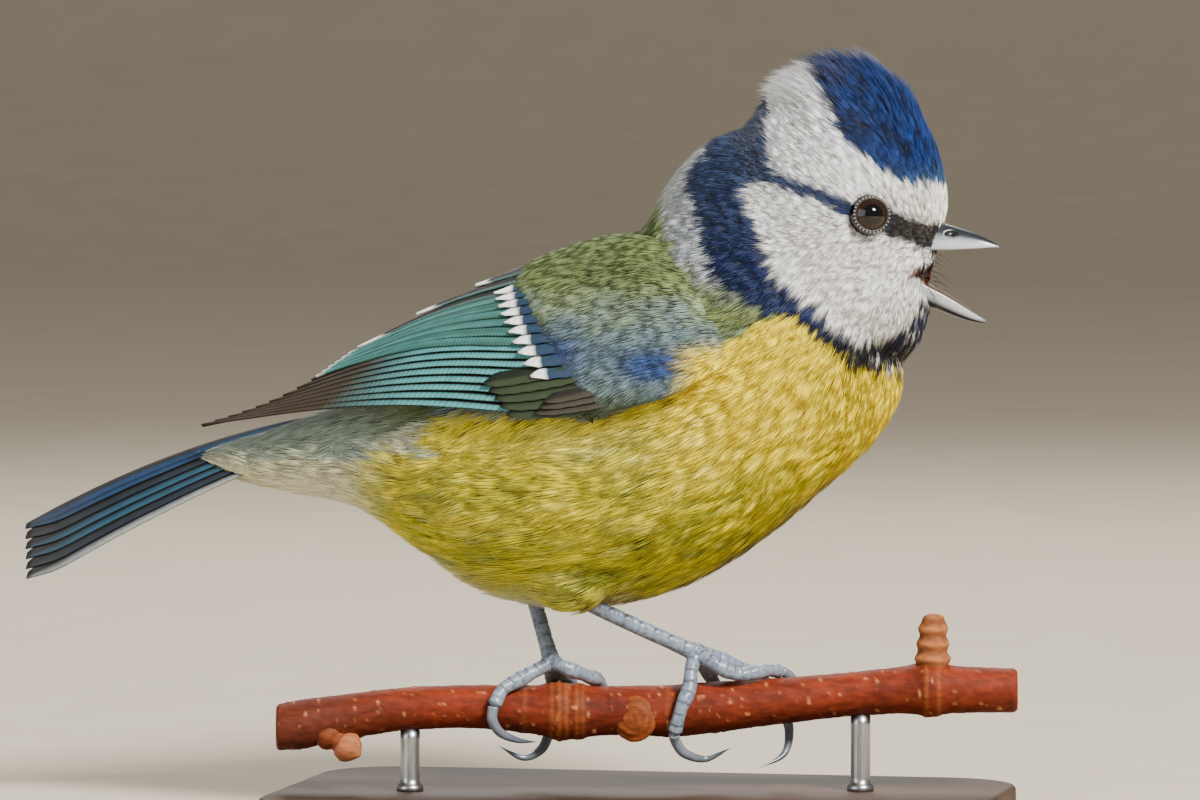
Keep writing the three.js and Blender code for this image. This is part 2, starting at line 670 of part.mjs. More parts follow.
// The thigh's feathers, a tuft that stands a little out of the belly
function thighSolid(leg, grow = 0) {
  const ankle = v3(...leg.ankle);
  const tuft = new THREE.SphereGeometry(1, 12, 8).scale(...THIGH.sizes.map((size) => size + grow));
  tuft.rotateY(THIGH.lean).translate(ankle.x - THIGH.back, ankle.y, ankle.z + THIGH.above);
  return toSolid(tuft);
}

function shankSolid(leg, grow = 0) {
  const ankle = v3(...leg.ankle).add(v3(-SHANK_SUNK, 0, leg.rise));
  const foot = footCentre(leg);
  const bow = ankle.clone().lerp(foot, 0.5).add(v3(0, 0, -SHANK_BOW));
  const curve = new THREE.QuadraticBezierCurve3(ankle, bow, foot);
  const scutes = (t) => SHANK_RADIUS * (1 + 0.7 * Math.max(0, t - 0.8) + 0.05 * Math.cos(t * 40));
  const shank = bar(curve, (t) => scutes(t) + grow, 8, 8);
  const knuckle = new THREE.SphereGeometry(FOOT_RADIUS + grow, 9, 6).scale(1.1, 1, 0.9);
  return union([shank, toSolid(knuckle.translate(foot.x, foot.y, foot.z))]);
}

// Toes. Each follows places on the twig as [x, angle from the top, height over the bark].
// The hind toe comes down the near side, and the three front toes go over the far side.
const TOES = {
  right: [
    { name: "hind", path: [[5.6, 0.5, 2.6], [5.3, 0.9, 1.35], [4.5, 1.4, 1.05], [3.7, 2.15, 1.15]],
      claw: [[3.9, 2.45, 1.2], [4.9, 2.75, 2.1], [7.2, 2.98, 2.8], [9.9, 2.88, 2.0]] },
    { name: "middle", path: [[7.6, 0.0, 3.0], [10.4, -0.3, 1.7], [13.2, -0.85, 1.05], [14.9, -1.5, 0.95]],
      claw: [[15.6, -1.95, 1.0], [16.3, -2.45, 2.2], [15.7, -2.9, 3.7], [13.0, -3.18, 4.6]] },
    { name: "inner", path: [[6.6, -0.4, 2.9], [7.8, -0.8, 1.5], [8.8, -1.35, 1.0], [9.4, -1.75, 0.95]],
      claw: [[9.6, -2.0, 0.9], [9.3, -2.2, 1.0], [8.3, -2.42, 0.95], [7.0, -2.55, 0.5]] },
    { name: "outer", path: [[7.8, 0.45, 2.9], [10.6, 0.5, 1.35], [13.4, 0.15, 1.0], [15.4, -0.45, 0.95]],
      claw: [[16.4, -0.85, 0.95], [17.2, -1.3, 1.1], [17.4, -1.8, 1.2], [17.0, -2.25, 0.9]] },
  ],
  left: [
    { name: "hind", path: [[-10.8, 0.1, 1.9], [-12.9, 0.4, 1.2], [-14.8, 0.85, 1.0], [-15.9, 1.45, 0.95]],
      claw: [[-16.0, 1.9, 0.95], [-15.1, 2.35, 1.1], [-13.2, 2.7, 1.1], [-11.2, 3.0, 0.8]] },
    { name: "middle", path: [[-9.6, -0.5, 1.9], [-9.5, -0.95, 1.1], [-9.5, -1.45, 0.95], [-9.7, -1.95, 0.95]],
      claw: [[-9.9, -2.3, 1.1], [-10.8, -2.75, 2.1], [-12.8, -3.08, 2.8], [-15.4, -3.05, 1.8]] },
    { name: "inner", path: [[-8.8, -0.3, 2.0], [-7.6, -0.85, 1.15], [-6.9, -1.4, 0.95], [-6.8, -1.9, 0.95]],
      claw: [[-7.0, -2.1, 0.9], [-7.2, -2.25, 1.0], [-7.9, -2.42, 0.95], [-8.7, -2.5, 0.5]] },
    { name: "outer", path: [[-8.3, 0.15, 2.0], [-6.0, -0.05, 1.15], [-4.6, -0.5, 0.95], [-4.1, -1.05, 0.95]],
      claw: [[-4.0, -1.35, 0.95], [-4.2, -1.8, 1.2], [-4.8, -2.2, 1.1], [-5.6, -2.45, 0.7]] },
  ],
};

const twigCurve = (list) => curveThrough(list.map((place) => onTwig(...place).toArray()));

// A toe swells at each joint, over its pads
const toeForm = (t) => TOE_RADIUS * (0.94 + 0.13 * Math.cos(t * 6 * Math.PI)) * lerp(1.05, 0.9, t);
const clawForm = (t) => Math.max(0.06, CLAW_RADIUS * (1 - t ** 2.2));

function toeSolid(toe, leg, grow = 0) {
  const { x, angle, high } = leg.foot;
  return bar(twigCurve([[x, angle, high], ...toe.path]), (t) => toeForm(t) + grow, 8, 7);
}

function clawSolid(toe) {
  const knuckle = toe.path[toe.path.length - 1];
  const start = twigCurve([knuckle, ...toe.claw]);
  return bar(start, clawForm, 7, 6);
}

// The display stand: a flat base with round corners and two short rods
const BASE = { long: 80, deep: 46, thick: 3.5, corner: 9, bevel: 0.6 };
const ROD = { radius: 1.1, xs: [-25, 24] };

function baseSolid() {
  const [w, d, r] = [BASE.long / 2 - BASE.bevel, BASE.deep / 2 - BASE.bevel, BASE.corner - BASE.bevel];
  const outline = new THREE.Shape();
  outline.moveTo(-w + r, -d);
  outline.lineTo(w - r, -d);
  outline.absarc(w - r, -d + r, r, -Math.PI / 2, 0, false);
  outline.absarc(w - r, d - r, r, 0, Math.PI / 2, false);
  outline.absarc(-w + r, d - r, r, Math.PI / 2, Math.PI, false);
  outline.absarc(-w + r, -d + r, r, Math.PI, 1.5 * Math.PI, false);
  const slab = new THREE.ExtrudeGeometry(outline, {
    depth: BASE.thick - 2 * BASE.bevel,
    bevelEnabled: true,
    bevelThickness: BASE.bevel,
    bevelSize: BASE.bevel,
    bevelSegments: 1,
    curveSegments: 4,
  });
  return toSolid(slab.translate(0, 0, BASE.bevel));
}

function rodSolid(x) {
  const top = alongTwig.getPoint(twigShare(x));
  const low = BASE.thick + GAP;
  const rod = new THREE.CylinderGeometry(ROD.radius, ROD.radius, top.z - low, 12);
  return toSolid(rod.rotateX(Math.PI / 2).translate(top.x, top.y, (top.z + low) / 2));
}

// Parting the flesh with thin cuts, each a plane through two points seen from the side
const CUTS = {
  neckHead: [[9.2, 79.6], [29.4, 50.2]],
  torsoNeck: [[0.6, 68.2], [30.6, 44.2]],
  rumpTorso: [[-27.5, 55.0], [-26.5, 27.0]],
};

function sides(cut) {
  const [[x1, z1], [x2, z2]] = cut;
  const ahead = v3(z1 - z2, 0, x2 - x1).normalize(); // points towards the bill
  const at = ahead.dot(v3(x1, 0, z1));
  return {
    front: (solid) => solid.trimByPlane(ahead.toArray(), at + GAP / 2),
    back: (solid) => solid.trimByPlane(ahead.clone().negate().toArray(), -at + GAP / 2),
  };
}

const cut = Object.fromEntries(Object.entries(CUTS).map(([name, line]) => [name, sides(line)]));

const legList = Object.entries(LEGS);
const flesh = union([bodySolid(), headSolid()]);
const around = union([bodySolid(GAP), headSolid(GAP)]);

// The head, with its lids, crest, sockets and open mouth
let head = union([cut.neckHead.front(flesh), lidSolid(1), lidSolid(-1), ...crestBlades()]);
head = head.subtract(mouthSolid());
head = head.subtract(union([billSolid(UPPER_BILL, GAP), billSolid(LOWER_BILL, GAP, false)]));
for (const side of [1, -1]) head = head.subtract(eyeSolid(side, GAP));
addNode("head", head, PLUMAGE_WHITE);

for (const [name, side] of [["left", 1], ["right", -1]]) {
  addNode(`eye_${name}`, eyeSolid(side), "#2a1a10", 0.1);
}
const nostrils = union([nostrilSolid(1), nostrilSolid(-1)]);
const upperBill = billSolid(UPPER_BILL).subtract(troughSolid(UPPER_BILL, true)).subtract(nostrils);
addNode("bill_upper", upperBill, HORN_GREY, 0.35);
addNode("bill_lower", billSolid(LOWER_BILL, 0, false).subtract(troughSolid(LOWER_BILL, false)), HORN_GREY, 0.35);
addNode("neck", cut.neckHead.back(cut.torsoNeck.front(flesh)), PLUMAGE_BLUE);

// The torso and rump, with room for the thighs
const thighRoom = union(legList.map(([, leg]) => thighSolid(leg, GAP)));
const shankRoom = union(legList.map(([, leg]) => shankSolid(leg, GAP)));
const trunk = cut.torsoNeck.back(flesh).subtract(thighRoom).subtract(shankRoom);
addNode("torso", cut.rumpTorso.front(trunk), PLUMAGE_YELLOW);
addNode("rump", cut.rumpTorso.back(trunk), PLUMAGE_YELLOW);

// The wings and the tail lie against the body
const tail = tailSolid();
const trunkRoom = bodySolid(TRUNK_ROOM, 14, 14);
const wingRoom = union([trunkRoom, tail.translate([0, 0, GAP]), tail.translate([0, 0, -GAP])]);
for (const [name, side] of [["left", 1], ["right", -1]]) {
  addNode(`wing_${name}`, wingSolid(side).subtract(wingRoom), FEATHER_SLATE);
}
addNode("tail", tail.subtract(trunkRoom), FEATHER_SLATE);

// The legs
const twig = union([twigSolid(), spurSolid(), budSolid(), scarSolid()]);
const twigRoom = twigSolid(GAP);
for (const [name, leg] of legList) {
  const room = union([around, shankSolid(leg, GAP)]);
  const thigh = thighSolid(leg).subtract(shankSolid(leg, GAP));
  addNode(`thigh_${name}`, thigh, PLUMAGE_YELLOW);
  addNode(`shank_${name}`, shankSolid(leg).subtract(twigRoom), LEG_GREY, 0.4);
  let taken = union([room, twigRoom]);
  for (const toe of TOES[name]) {
    const end = toeSolid(toe, leg);
    addNode(`toe_${name}_${toe.name}`, end.subtract(taken), LEG_GREY, 0.4);
    addNode(`claw_${name}_${toe.name}`, clawSolid(toe).subtract(toeSolid(toe, leg, GAP)).subtract(taken), HORN_GREY, 0.35);
    taken = union([taken, toeSolid(toe, leg, GAP)]);
  }
}

// The perch and its stand
addNode("perch_twig", twig, BARK, 0.6);
addNode("stand_base", baseSolid(), STAND_WOOD, 0.5);
ROD.xs.forEach((x, k) => {
  addNode(`stand_rod_${k + 1}`, rodSolid(x).subtract(twigRoom), STEEL, 0.3, 1);
});

export default model;
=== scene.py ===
import math

import bmesh
import bpy
import numpy as np
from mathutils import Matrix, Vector, noise


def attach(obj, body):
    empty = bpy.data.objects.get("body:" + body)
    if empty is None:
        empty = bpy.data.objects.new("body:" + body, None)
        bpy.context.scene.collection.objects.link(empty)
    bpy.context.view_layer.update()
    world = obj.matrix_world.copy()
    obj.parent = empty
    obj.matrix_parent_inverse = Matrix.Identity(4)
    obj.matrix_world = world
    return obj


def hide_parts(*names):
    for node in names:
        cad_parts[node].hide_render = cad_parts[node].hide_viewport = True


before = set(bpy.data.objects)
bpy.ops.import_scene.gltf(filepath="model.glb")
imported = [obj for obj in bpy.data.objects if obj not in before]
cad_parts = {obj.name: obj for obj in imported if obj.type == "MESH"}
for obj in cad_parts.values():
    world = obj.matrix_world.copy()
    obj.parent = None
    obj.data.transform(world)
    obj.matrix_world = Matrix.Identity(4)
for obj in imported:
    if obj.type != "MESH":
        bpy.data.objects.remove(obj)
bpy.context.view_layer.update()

# The stand's base: a flat board of dark stained wood with round corners and eased edges.
# It is turned out of one piece, and everything else stands on it.
MM = 0.001


def piece(name, points, faces, smooth=True):
    mesh = bpy.data.meshes.new(name)
    mesh.from_pydata((np.asarray(points, float) * MM).tolist(), [], [tuple(f) for f in faces])
    outward = bmesh.new()
    outward.from_mesh(mesh)
    bmesh.ops.recalc_face_normals(outward, faces=outward.faces)
    outward.to_mesh(mesh)
    outward.free()
    if smooth:
        mesh.shade_smooth()
    made = bpy.data.objects.new(name, mesh)
    bpy.context.collection.objects.link(made)
    return made


def fit(made, material, slot, *nodes):
    if material is not None:
        made.data.materials.clear()
        made.data.materials.append(material)
    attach(made, "root")
    if nodes:
        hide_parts(*nodes)


def loft(rings):
    rings = np.asarray(rings, float)
    count, around = rings.shape[:2]
    faces = []
    for i in range(count - 1):
        for j in range(around):
            a, b = i * around + j, i * around + (j + 1) % around
            faces.append((a, b, b + around, a + around))
    faces.append(tuple(reversed(range(around))))
    faces.append(tuple(range((count - 1) * around, count * around)))
    return rings.reshape(-1, 3), faces


def ink(code):
    values = [int(code[i : i + 2], 16) / 255 for i in (1, 3, 5)]
    return np.array([v / 12.92 if v <= 0.04045 else ((v + 0.055) / 1.055) ** 2.4 for v in values])


def mixed(a, b, share):
    share = min(1.0, max(0.0, share))
    return a * (1 - share) + b * share


def circle(count):
    return np.linspace(0, 2 * math.pi, count, endpoint=False)


def gathered(shells):
    """The points and faces of several shells, as one list of each."""
    points, faces, start = [], [], 0
    for shell_points, shell_faces in shells:
        points.append(np.asarray(shell_points, float))
        faces.extend(tuple(start + i for i in face) for face in shell_faces)
        start += len(shell_points)
    return np.vstack(points), faces


class Finish:
    """A material's shader, with its nodes added one after another."""

    def __init__(self, name, roughness=0.5, **settings):
        self.material = bpy.data.materials.new(name)
        self.material.use_nodes = True
        self.tree = self.material.node_tree
        self.shader = self.tree.nodes["Principled BSDF"]
        self.shader.inputs["Roughness"].default_value = roughness
        for key, value in settings.items():
            self.shader.inputs[key.replace("_", " ")].default_value = value

    def add(self, kind, inputs=(), **settings):
        made = self.tree.nodes.new(kind)
        for key, value in settings.items():
            setattr(made, key, value)
        for key, value in dict(inputs).items():
            if isinstance(value, bpy.types.NodeSocket):
                self.tree.links.new(value, made.inputs[key])
            else:
                made.inputs[key].default_value = value
        return made

    def place(self, stretch=(1, 1, 1), uv=None):
        if uv:
            source = self.add("ShaderNodeUVMap", uv_map=uv).outputs["UV"]
        else:
            source = self.add("ShaderNodeTexCoord").outputs["Object"]
        return self.add("ShaderNodeMapping", {"Vector": source, "Scale": stretch}).outputs["Vector"]

    def grain(self, vector, scale, detail=4.0, rough=0.6):
        given = {"Vector": vector, "Scale": scale, "Detail": detail, "Roughness": rough}
        return self.add("ShaderNodeTexNoise", given).outputs["Fac"]

    def ramp(self, value, *stops):
        made = self.add("ShaderNodeValToRGB", {"Fac": value})
        ends = made.color_ramp.elements
        for i, (at, colour) in enumerate(stops):
            stop = ends[i] if i < 2 else ends.new(at)
            stop.position = at
            stop.color = (*np.broadcast_to(colour, 3), 1)
        return made.outputs["Color"]

    def mix(self, factor, a, b, blend="MIX"):
        made = self.add("ShaderNodeMix", data_type="RGBA", blend_type=blend)
        for socket, value in ((made.inputs[0], factor), (made.inputs[6], a), (made.inputs[7], b)):
            if isinstance(value, bpy.types.NodeSocket):
                self.tree.links.new(value, socket)
            else:
                socket.default_value = (*value, 1) if socket.type == "RGBA" else value
        return made.outputs[2]

    def dapple(self, factor, value, *stops):
        """The piece's painted colours, broken up by a texture's value."""
        shade = self.attribute("shade").outputs["Color"]
        return self.mix(factor, shade, self.ramp(value, *stops), "MULTIPLY")

    def colour(self, socket):
        self.tree.links.new(socket, self.shader.inputs["Base Color"])

    def bump(self, height, strength, distance):
        made = self.add("ShaderNodeBump", {"Height": height, "Strength": strength, "Distance": distance})
        self.tree.links.new(made.outputs["Normal"], self.shader.inputs["Normal"])

    def attribute(self, name):
        return self.add("ShaderNodeAttribute", attribute_name=name)


def stained_wood():
    wood = Finish("stained_wood", roughness=0.6)
    board = wood.place((14, 160, 160))
    rings = wood.grain(board, 1.0, 6.0, 0.55)
    wood.colour(wood.ramp(rings, (0.3, ink("#1f1510")), (0.62, ink("#4a3323")), (0.8, ink("#5d4230"))))
    wood.bump(wood.grain(wood.place((60, 900, 900)), 1.0), 0.25, 0.0002)
    return wood.material


BASE = {"long": 80, "deep": 46, "thick": 3.5, "corner": 9, "bevel": 0.6}


def base_rings():
    rings = []
    for turn in np.linspace(-90, 90, 9):
        pull = BASE["bevel"] * (1 - math.cos(math.radians(turn)))
        rise = BASE["thick"] / 2 + (BASE["thick"] / 2 - BASE["bevel"]) * np.sign(turn)
        rise += BASE["bevel"] * math.sin(math.radians(turn))
        if turn == 0:
            rise = BASE["thick"] / 2
        ring = []
        for corner in range(4):
            for a in np.linspace(0, 90, 10):
                angle = math.radians(a + 90 * corner)
                cx = (BASE["long"] / 2 - BASE["corner"]) * (1 if corner in (0, 3) else -1)
                cy = (BASE["deep"] / 2 - BASE["corner"]) * (1 if corner in (0, 1) else -1)
                r = BASE["corner"] - pull
                ring.append((cx + r * math.cos(angle), cy + r * math.sin(angle), rise))
        rings.append(ring)
    return rings


base = piece("base", *loft(base_rings()))
fit(base, stained_wood(), "stand_wood", "stand_base")

# The twig: a cut length of a red-brown shoot with rings of old growth, a spur, a bud and the
# pad of a fallen leaf. It rests on the two rods and carries the bird.
TWIG = [
    (-39.5, 10.6, 2.55), (-36.5, 11.0, 2.75), (-33.0, 11.6, 2.55), (-26.0, 12.6, 2.4), (-18.5, 12.9, 2.4),
    (-12.4, 12.6, 2.65), (-8.8, 12.4, 3.05), (-5.6, 12.4, 2.8), (-1.0, 12.5, 2.75), (3.4, 12.4, 2.9),
    (7.5, 12.8, 2.85), (14.0, 13.4, 2.6), (22.0, 14.2, 2.45), (28.0, 14.7, 2.6), (31.4, 14.9, 2.95),
    (35.0, 14.8, 2.6), (41.0, 14.7, 2.45),
]
TWIG_TURN = 0.21
BESIDE_TWIG = np.array([math.sin(TWIG_TURN), -math.cos(TWIG_TURN), 0])
UP = np.array([0.0, 0, 1])


def smooth_columns(table):
    table = np.asarray(table, float)
    padded = np.vstack([2 * table[0] - table[1], table, 2 * table[-1] - table[-2]])
    last = len(table) - 1

    def at(share):
        place = np.clip(np.asarray(share, float), 0, 1) * last
        i = np.minimum(place.astype(int), last - 1)
        w = (place - i)[..., None]
        a, b, c, d = padded[i], padded[i + 1], padded[i + 2], padded[i + 3]
        cubic = 3 * b - a - 3 * c + d
        return 0.5 * (2 * b + (c - a) * w + (2 * a - 5 * b + 4 * c - d) * w**2 + cubic * w**3)

    return at


twig_columns = smooth_columns(TWIG)
TWIG_SHARES = np.linspace(0, 1, 2000)
TWIG_XS = twig_columns(TWIG_SHARES)[:, 0]


def spoke(angle):
    return BESIDE_TWIG * math.sin(angle) + UP * math.cos(angle)


def on_twig(x, angle, high):
    at = twig_columns(np.interp(x, TWIG_XS, TWIG_SHARES))
    centre = np.array([at[0], at[0] * math.tan(TWIG_TURN), at[1]])
    return centre + spoke(angle) * (at[2] + high)


def twig_centre(x):
    return on_twig(x, 0, 0) - UP * twig_columns(np.interp(x, TWIG_XS, TWIG_SHARES))[2]


def ripple(p, size, seed=0.0):
    return noise.noise(Vector(p) / size + Vector((seed, seed * 1.7, -seed)))


def shade_points(made, colours, name="shade"):
    layer = made.data.attributes.new(name, "FLOAT_COLOR", "POINT")
    full = np.ones((len(made.data.vertices), 4), dtype=np.float32)
    full[:, :3] = colours
    layer.data.foreach_set("color", full.ravel())


BARK_RED = ink("#742a13")
RING_SCARS = [
    (-12.6, 0.3), (-9.6, 0.55), (-8.8, 0.7), (-8.0, 0.6), (-6.9, 0.5), (-6.2, 0.45), (3.0, 0.25),
    (31.0, 0.6), (32.4, 0.5),
]
SWELLINGS = (-8.8, -6.6, 31.6)
SPUR = {"x": 31.8, "tall": 4.8, "radius": 1.75, "rings": 4, "sunk": 1.2, "round_from": 0.84}
BUD = {"x": -33.2, "long": 4.6, "radius": 1.7, "form": (0.95, 1.05, 0.95, 0.7, 0.95, 1.0, 0.72, 0.12)}
LEAF_SCAR = {"x": -0.6, "angle": 1.95, "sizes": (2.5, 1.3, 2.6), "sunk": 0.7, "tip": 0.2}


def bark_tone(x, turn, scar, wart):
    mottle = 0.5 * ripple((x * 0.12, turn * 0.7, 2), 1.0, 17)
    # The top of the shoot is painted lighter, as painted light, over a random mottle.
    tone = BARK_RED * (0.75 + mottle + 0.3 * (1 + math.cos(turn)) / 2)
    # The underside turned from the key is painted darker, as painted shade.
    tone = mixed(tone, ink("#5a2a18"), 0.35 * (0.5 - 0.5 * math.cos(turn - 0.6)))
    tone = mixed(tone, ink("#4b2c20"), 0.45 * min(1, max(0, (-22 - x) / 12)))
    tone = mixed(tone, ink("#a5602f"), scar * 4.2)
    return mixed(tone, ink("#b9794a"), wart * 9)


def stem():
    rings, tint = [], []
    for share in np.linspace(0, 1, 420):
        x, z, radius = twig_columns(share)
        scar = sum(0.16 * s * math.exp(-(((x - at) / 0.28) ** 2)) for at, s in RING_SCARS)
        swell = 0.22 * sum(math.exp(-(((x - at) / 0.9) ** 2)) for at in SWELLINGS)
        centre = np.array([x, x * math.tan(TWIG_TURN), z])
        eased = 0.25 * (1 - min(1, min(share, 1 - share) * 300))
        ring = []
        for turn in circle(56):
            out = spoke(turn)
            p = centre + out * radius
            fibre = ripple((x * 0.22, turn * 1.3, 0), 0.6, 3) * 0.05
            fine = ripple(p, 0.7, 7) * 0.05
            wart = max(0.0, ripple((x * 1.5, turn * 3.6, 1), 1.0, 11) - 0.45) * 0.45
            r = radius + scar * (1 + 0.5 * ripple(p, 1.5, 5)) + swell + fibre + fine + wart
            ring.append(centre + out * (r - eased))
            tint.append(bark_tone(x, turn, scar, wart))
        rings.append(ring)
    return (*loft(rings), tint)


def spur():
    foot = on_twig(SPUR["x"], 0, -SPUR["sunk"])
    rings, tint = [], []
    for t in np.linspace(0, 1, 61):
        wave = math.cos(t * SPUR["rings"] * 2 * math.pi)
        r = SPUR["radius"] * (1.25 - 0.4 * t) * (0.93 + 0.075 * wave)
        if t > SPUR["round_from"]:
            r *= math.sqrt(max(0.02, 1 - ((t - SPUR["round_from"]) / 0.17) ** 2))
        groove = 0.5 - 0.5 * wave
        ring = []
        for turn in circle(32):
            p = foot + np.array([r * math.cos(turn), r * math.sin(turn), (SPUR["tall"] + 1.8) * t])
            ring.append(p + np.array([0.1, 0.05, 0]) * t + 0.07 * ripple(p, 0.6, 23))
            tint.append(ink("#a8683c") * (1 - 0.6 * groove) + ink("#5e2612") * 0.4 * groove)
        rings.append(ring)
    return (*loft(rings), tint)


def bud():
    low = on_twig(BUD["x"] - 1.2, 2.6, -1.4)
    high = on_twig(BUD["x"] + 2.8, 2.7, BUD["long"] - 2.2)
    way = (high - low) / np.linalg.norm(high - low)
    side = np.cross(way, BESIDE_TWIG)
    side /= np.linalg.norm(side)
    other = np.cross(way, side)
    form = smooth_columns([[f] for f in BUD["form"]])
    rings, tint = [], []
    for t in np.linspace(0, 1, 40):
        r = BUD["radius"] * max(0.05, form(t)[0])
        ring = []
        for turn in circle(28):
            p = low + (high - low) * t + (side * math.cos(turn) + other * math.sin(turn)) * r
            ring.append(p + 0.08 * ripple(p, 0.5, 31))
            tint.append(ink("#8a4626") * (0.6 + 0.6 * t) if t < 0.5 else ink("#ab6a44"))
        rings.append(ring)
    return (*loft(rings), tint)


def leaf_scar():
    centre = on_twig(LEAF_SCAR["x"], LEAF_SCAR["angle"], -LEAF_SCAR["sunk"])
    c, s = math.cos(LEAF_SCAR["tip"]), math.sin(LEAF_SCAR["tip"])
    rings, tint = [], []
    for lat in np.linspace(0.03, math.pi - 0.03, 26):
        ring = []
        for lon in circle(36):
            ball = np.array([math.sin(lat) * math.cos(lon), math.sin(lat) * math.sin(lon), math.cos(lat)])
            x, y, z = ball * LEAF_SCAR["sizes"]
            ridge = math.cos(6 * math.hypot(x / 2.4, z / 2.5) * math.pi)
            p = centre + np.array([c * x + s * z, y * (0.86 + 0.08 * ridge), c * z - s * x])
            ring.append(p + 0.12 * ripple(p, 0.8, 41))
            tint.append(ink("#86431f") * (0.95 + 0.16 * ridge))
        rings.append(ring)
    return (*loft(rings), tint)


def bark():
    rind = Finish("bark", roughness=0.62, Specular_IOR_Level=0.15)
    mottle = rind.grain(rind.place((500, 1500, 1500)), 1.0, 6.0)
    rind.colour(rind.dapple(0.5, mottle, (0.35, (0.2, 0.16, 0.16)), (0.65, (1.35, 1.25, 1.2))))
    rind.bump(rind.grain(rind.place((700, 2600, 2600)), 1.0, 5.0), 0.35, 0.00015)
    return rind.material


growths = [stem(), spur(), bud(), leaf_scar()]
twig = piece("twig", *gathered([growth[:2] for growth in growths]))
shade_points(twig, np.clip(np.vstack([growth[2] for growth in growths]), 0, 1))
fit(twig, bark(), "bark", "perch_twig")

# The cut ends of the twig: discs of pale, finely grained wood, a hair proud of it.
# They close the length where it was cut from the branch.
CUT_PROFILE = ((2.2, -0.3), (2.25, 0.03), (2.1, 0.08), (1.2, 0.05), (0.35, 0.06), (0.1, -0.02))
CUT_RADIUS = 2.55


def cut_end(name, share, ahead):
    x, z, radius = twig_columns(share)
    way = twig_columns(min(1, share + 0.01))[:2] - twig_columns(max(0, share - 0.01))[:2]
    axis = np.array([way[0], way[0] * math.tan(TWIG_TURN), way[1]])
    axis *= ahead / np.linalg.norm(axis)
    centre = np.array([x, x * math.tan(TWIG_TURN), z])
    rings = []
    for r, out in CUT_PROFILE:
        rings.append([centre + axis * out + spoke(a) * r * radius / CUT_RADIUS for a in circle(40)])
    fit(piece(name, *loft(rings)), pale_wood, "bark", "perch_twig")


def cut_wood():
    wood = Finish("cut_wood", roughness=0.7)
    fine = wood.grain(wood.place((900, 900, 900)), 1.0)
    wood.colour(wood.ramp(fine, (0.3, ink("#b08a5c")), (0.7, ink("#dcc09a"))))
    wood.bump(wood.grain(wood.place((200, 3000, 3000)), 1.0), 0.3, 0.0001)
    return wood.material


pale_wood = cut_wood()
cut_end("twig_end_left", 0.0, -1)
cut_end("twig_end_right", 1.0, 1)

# The two rods: brushed steel pins that stand in the base, each with a small foot ring.
# A rod's top is hollowed to the round of the twig that rests on it.
ROD_XS = (-25, 24)
ROD_RADIUS = 1.1
ROD_FOOT = ((3.52, 1.5), (3.9, 1.5), (4.2, 1.4), (4.35, 1.12), (5, ROD_RADIUS), (8, ROD_RADIUS))


def brushed_steel():
    steel = Finish("brushed_steel", roughness=0.32, Metallic=1.0)
    fine = steel.grain(steel.place((9000, 9000, 300)), 1.0, 3.0)
    steel.colour(steel.ramp(fine, (0.3, ink("#8f9194")), (0.7, ink("#c3c4c6"))))
    steel.bump(fine, 0.15, 0.00005)
    return steel.material


steel = brushed_steel()
for number, x in enumerate(ROD_XS, 1):
    at = twig_centre(x)
    twig_radius = twig_columns(np.interp(x, TWIG_XS, TWIG_SHARES))[2]
    rings = []
    for z, r in (*ROD_FOOT, (at[2] - twig_radius - 1, ROD_RADIUS)):
        rings.append([(at[0] + r * math.cos(a), at[1] + r * math.sin(a), z) for a in circle(32)])
    top = []
    for a in circle(32):
        out = np.array([ROD_RADIUS * math.cos(a), ROD_RADIUS * math.sin(a), 0])
        hollow = math.sqrt(twig_radius**2 - (out @ BESIDE_TWIG) ** 2)
        top.append((at[0] + out[0], at[1] + out[1], at[2] - hollow - 0.05))
    rod = piece(f"rod_{number}", *loft([*rings, top]))
    fit(rod, steel, "stand_steel", f"stand_rod_{number}")

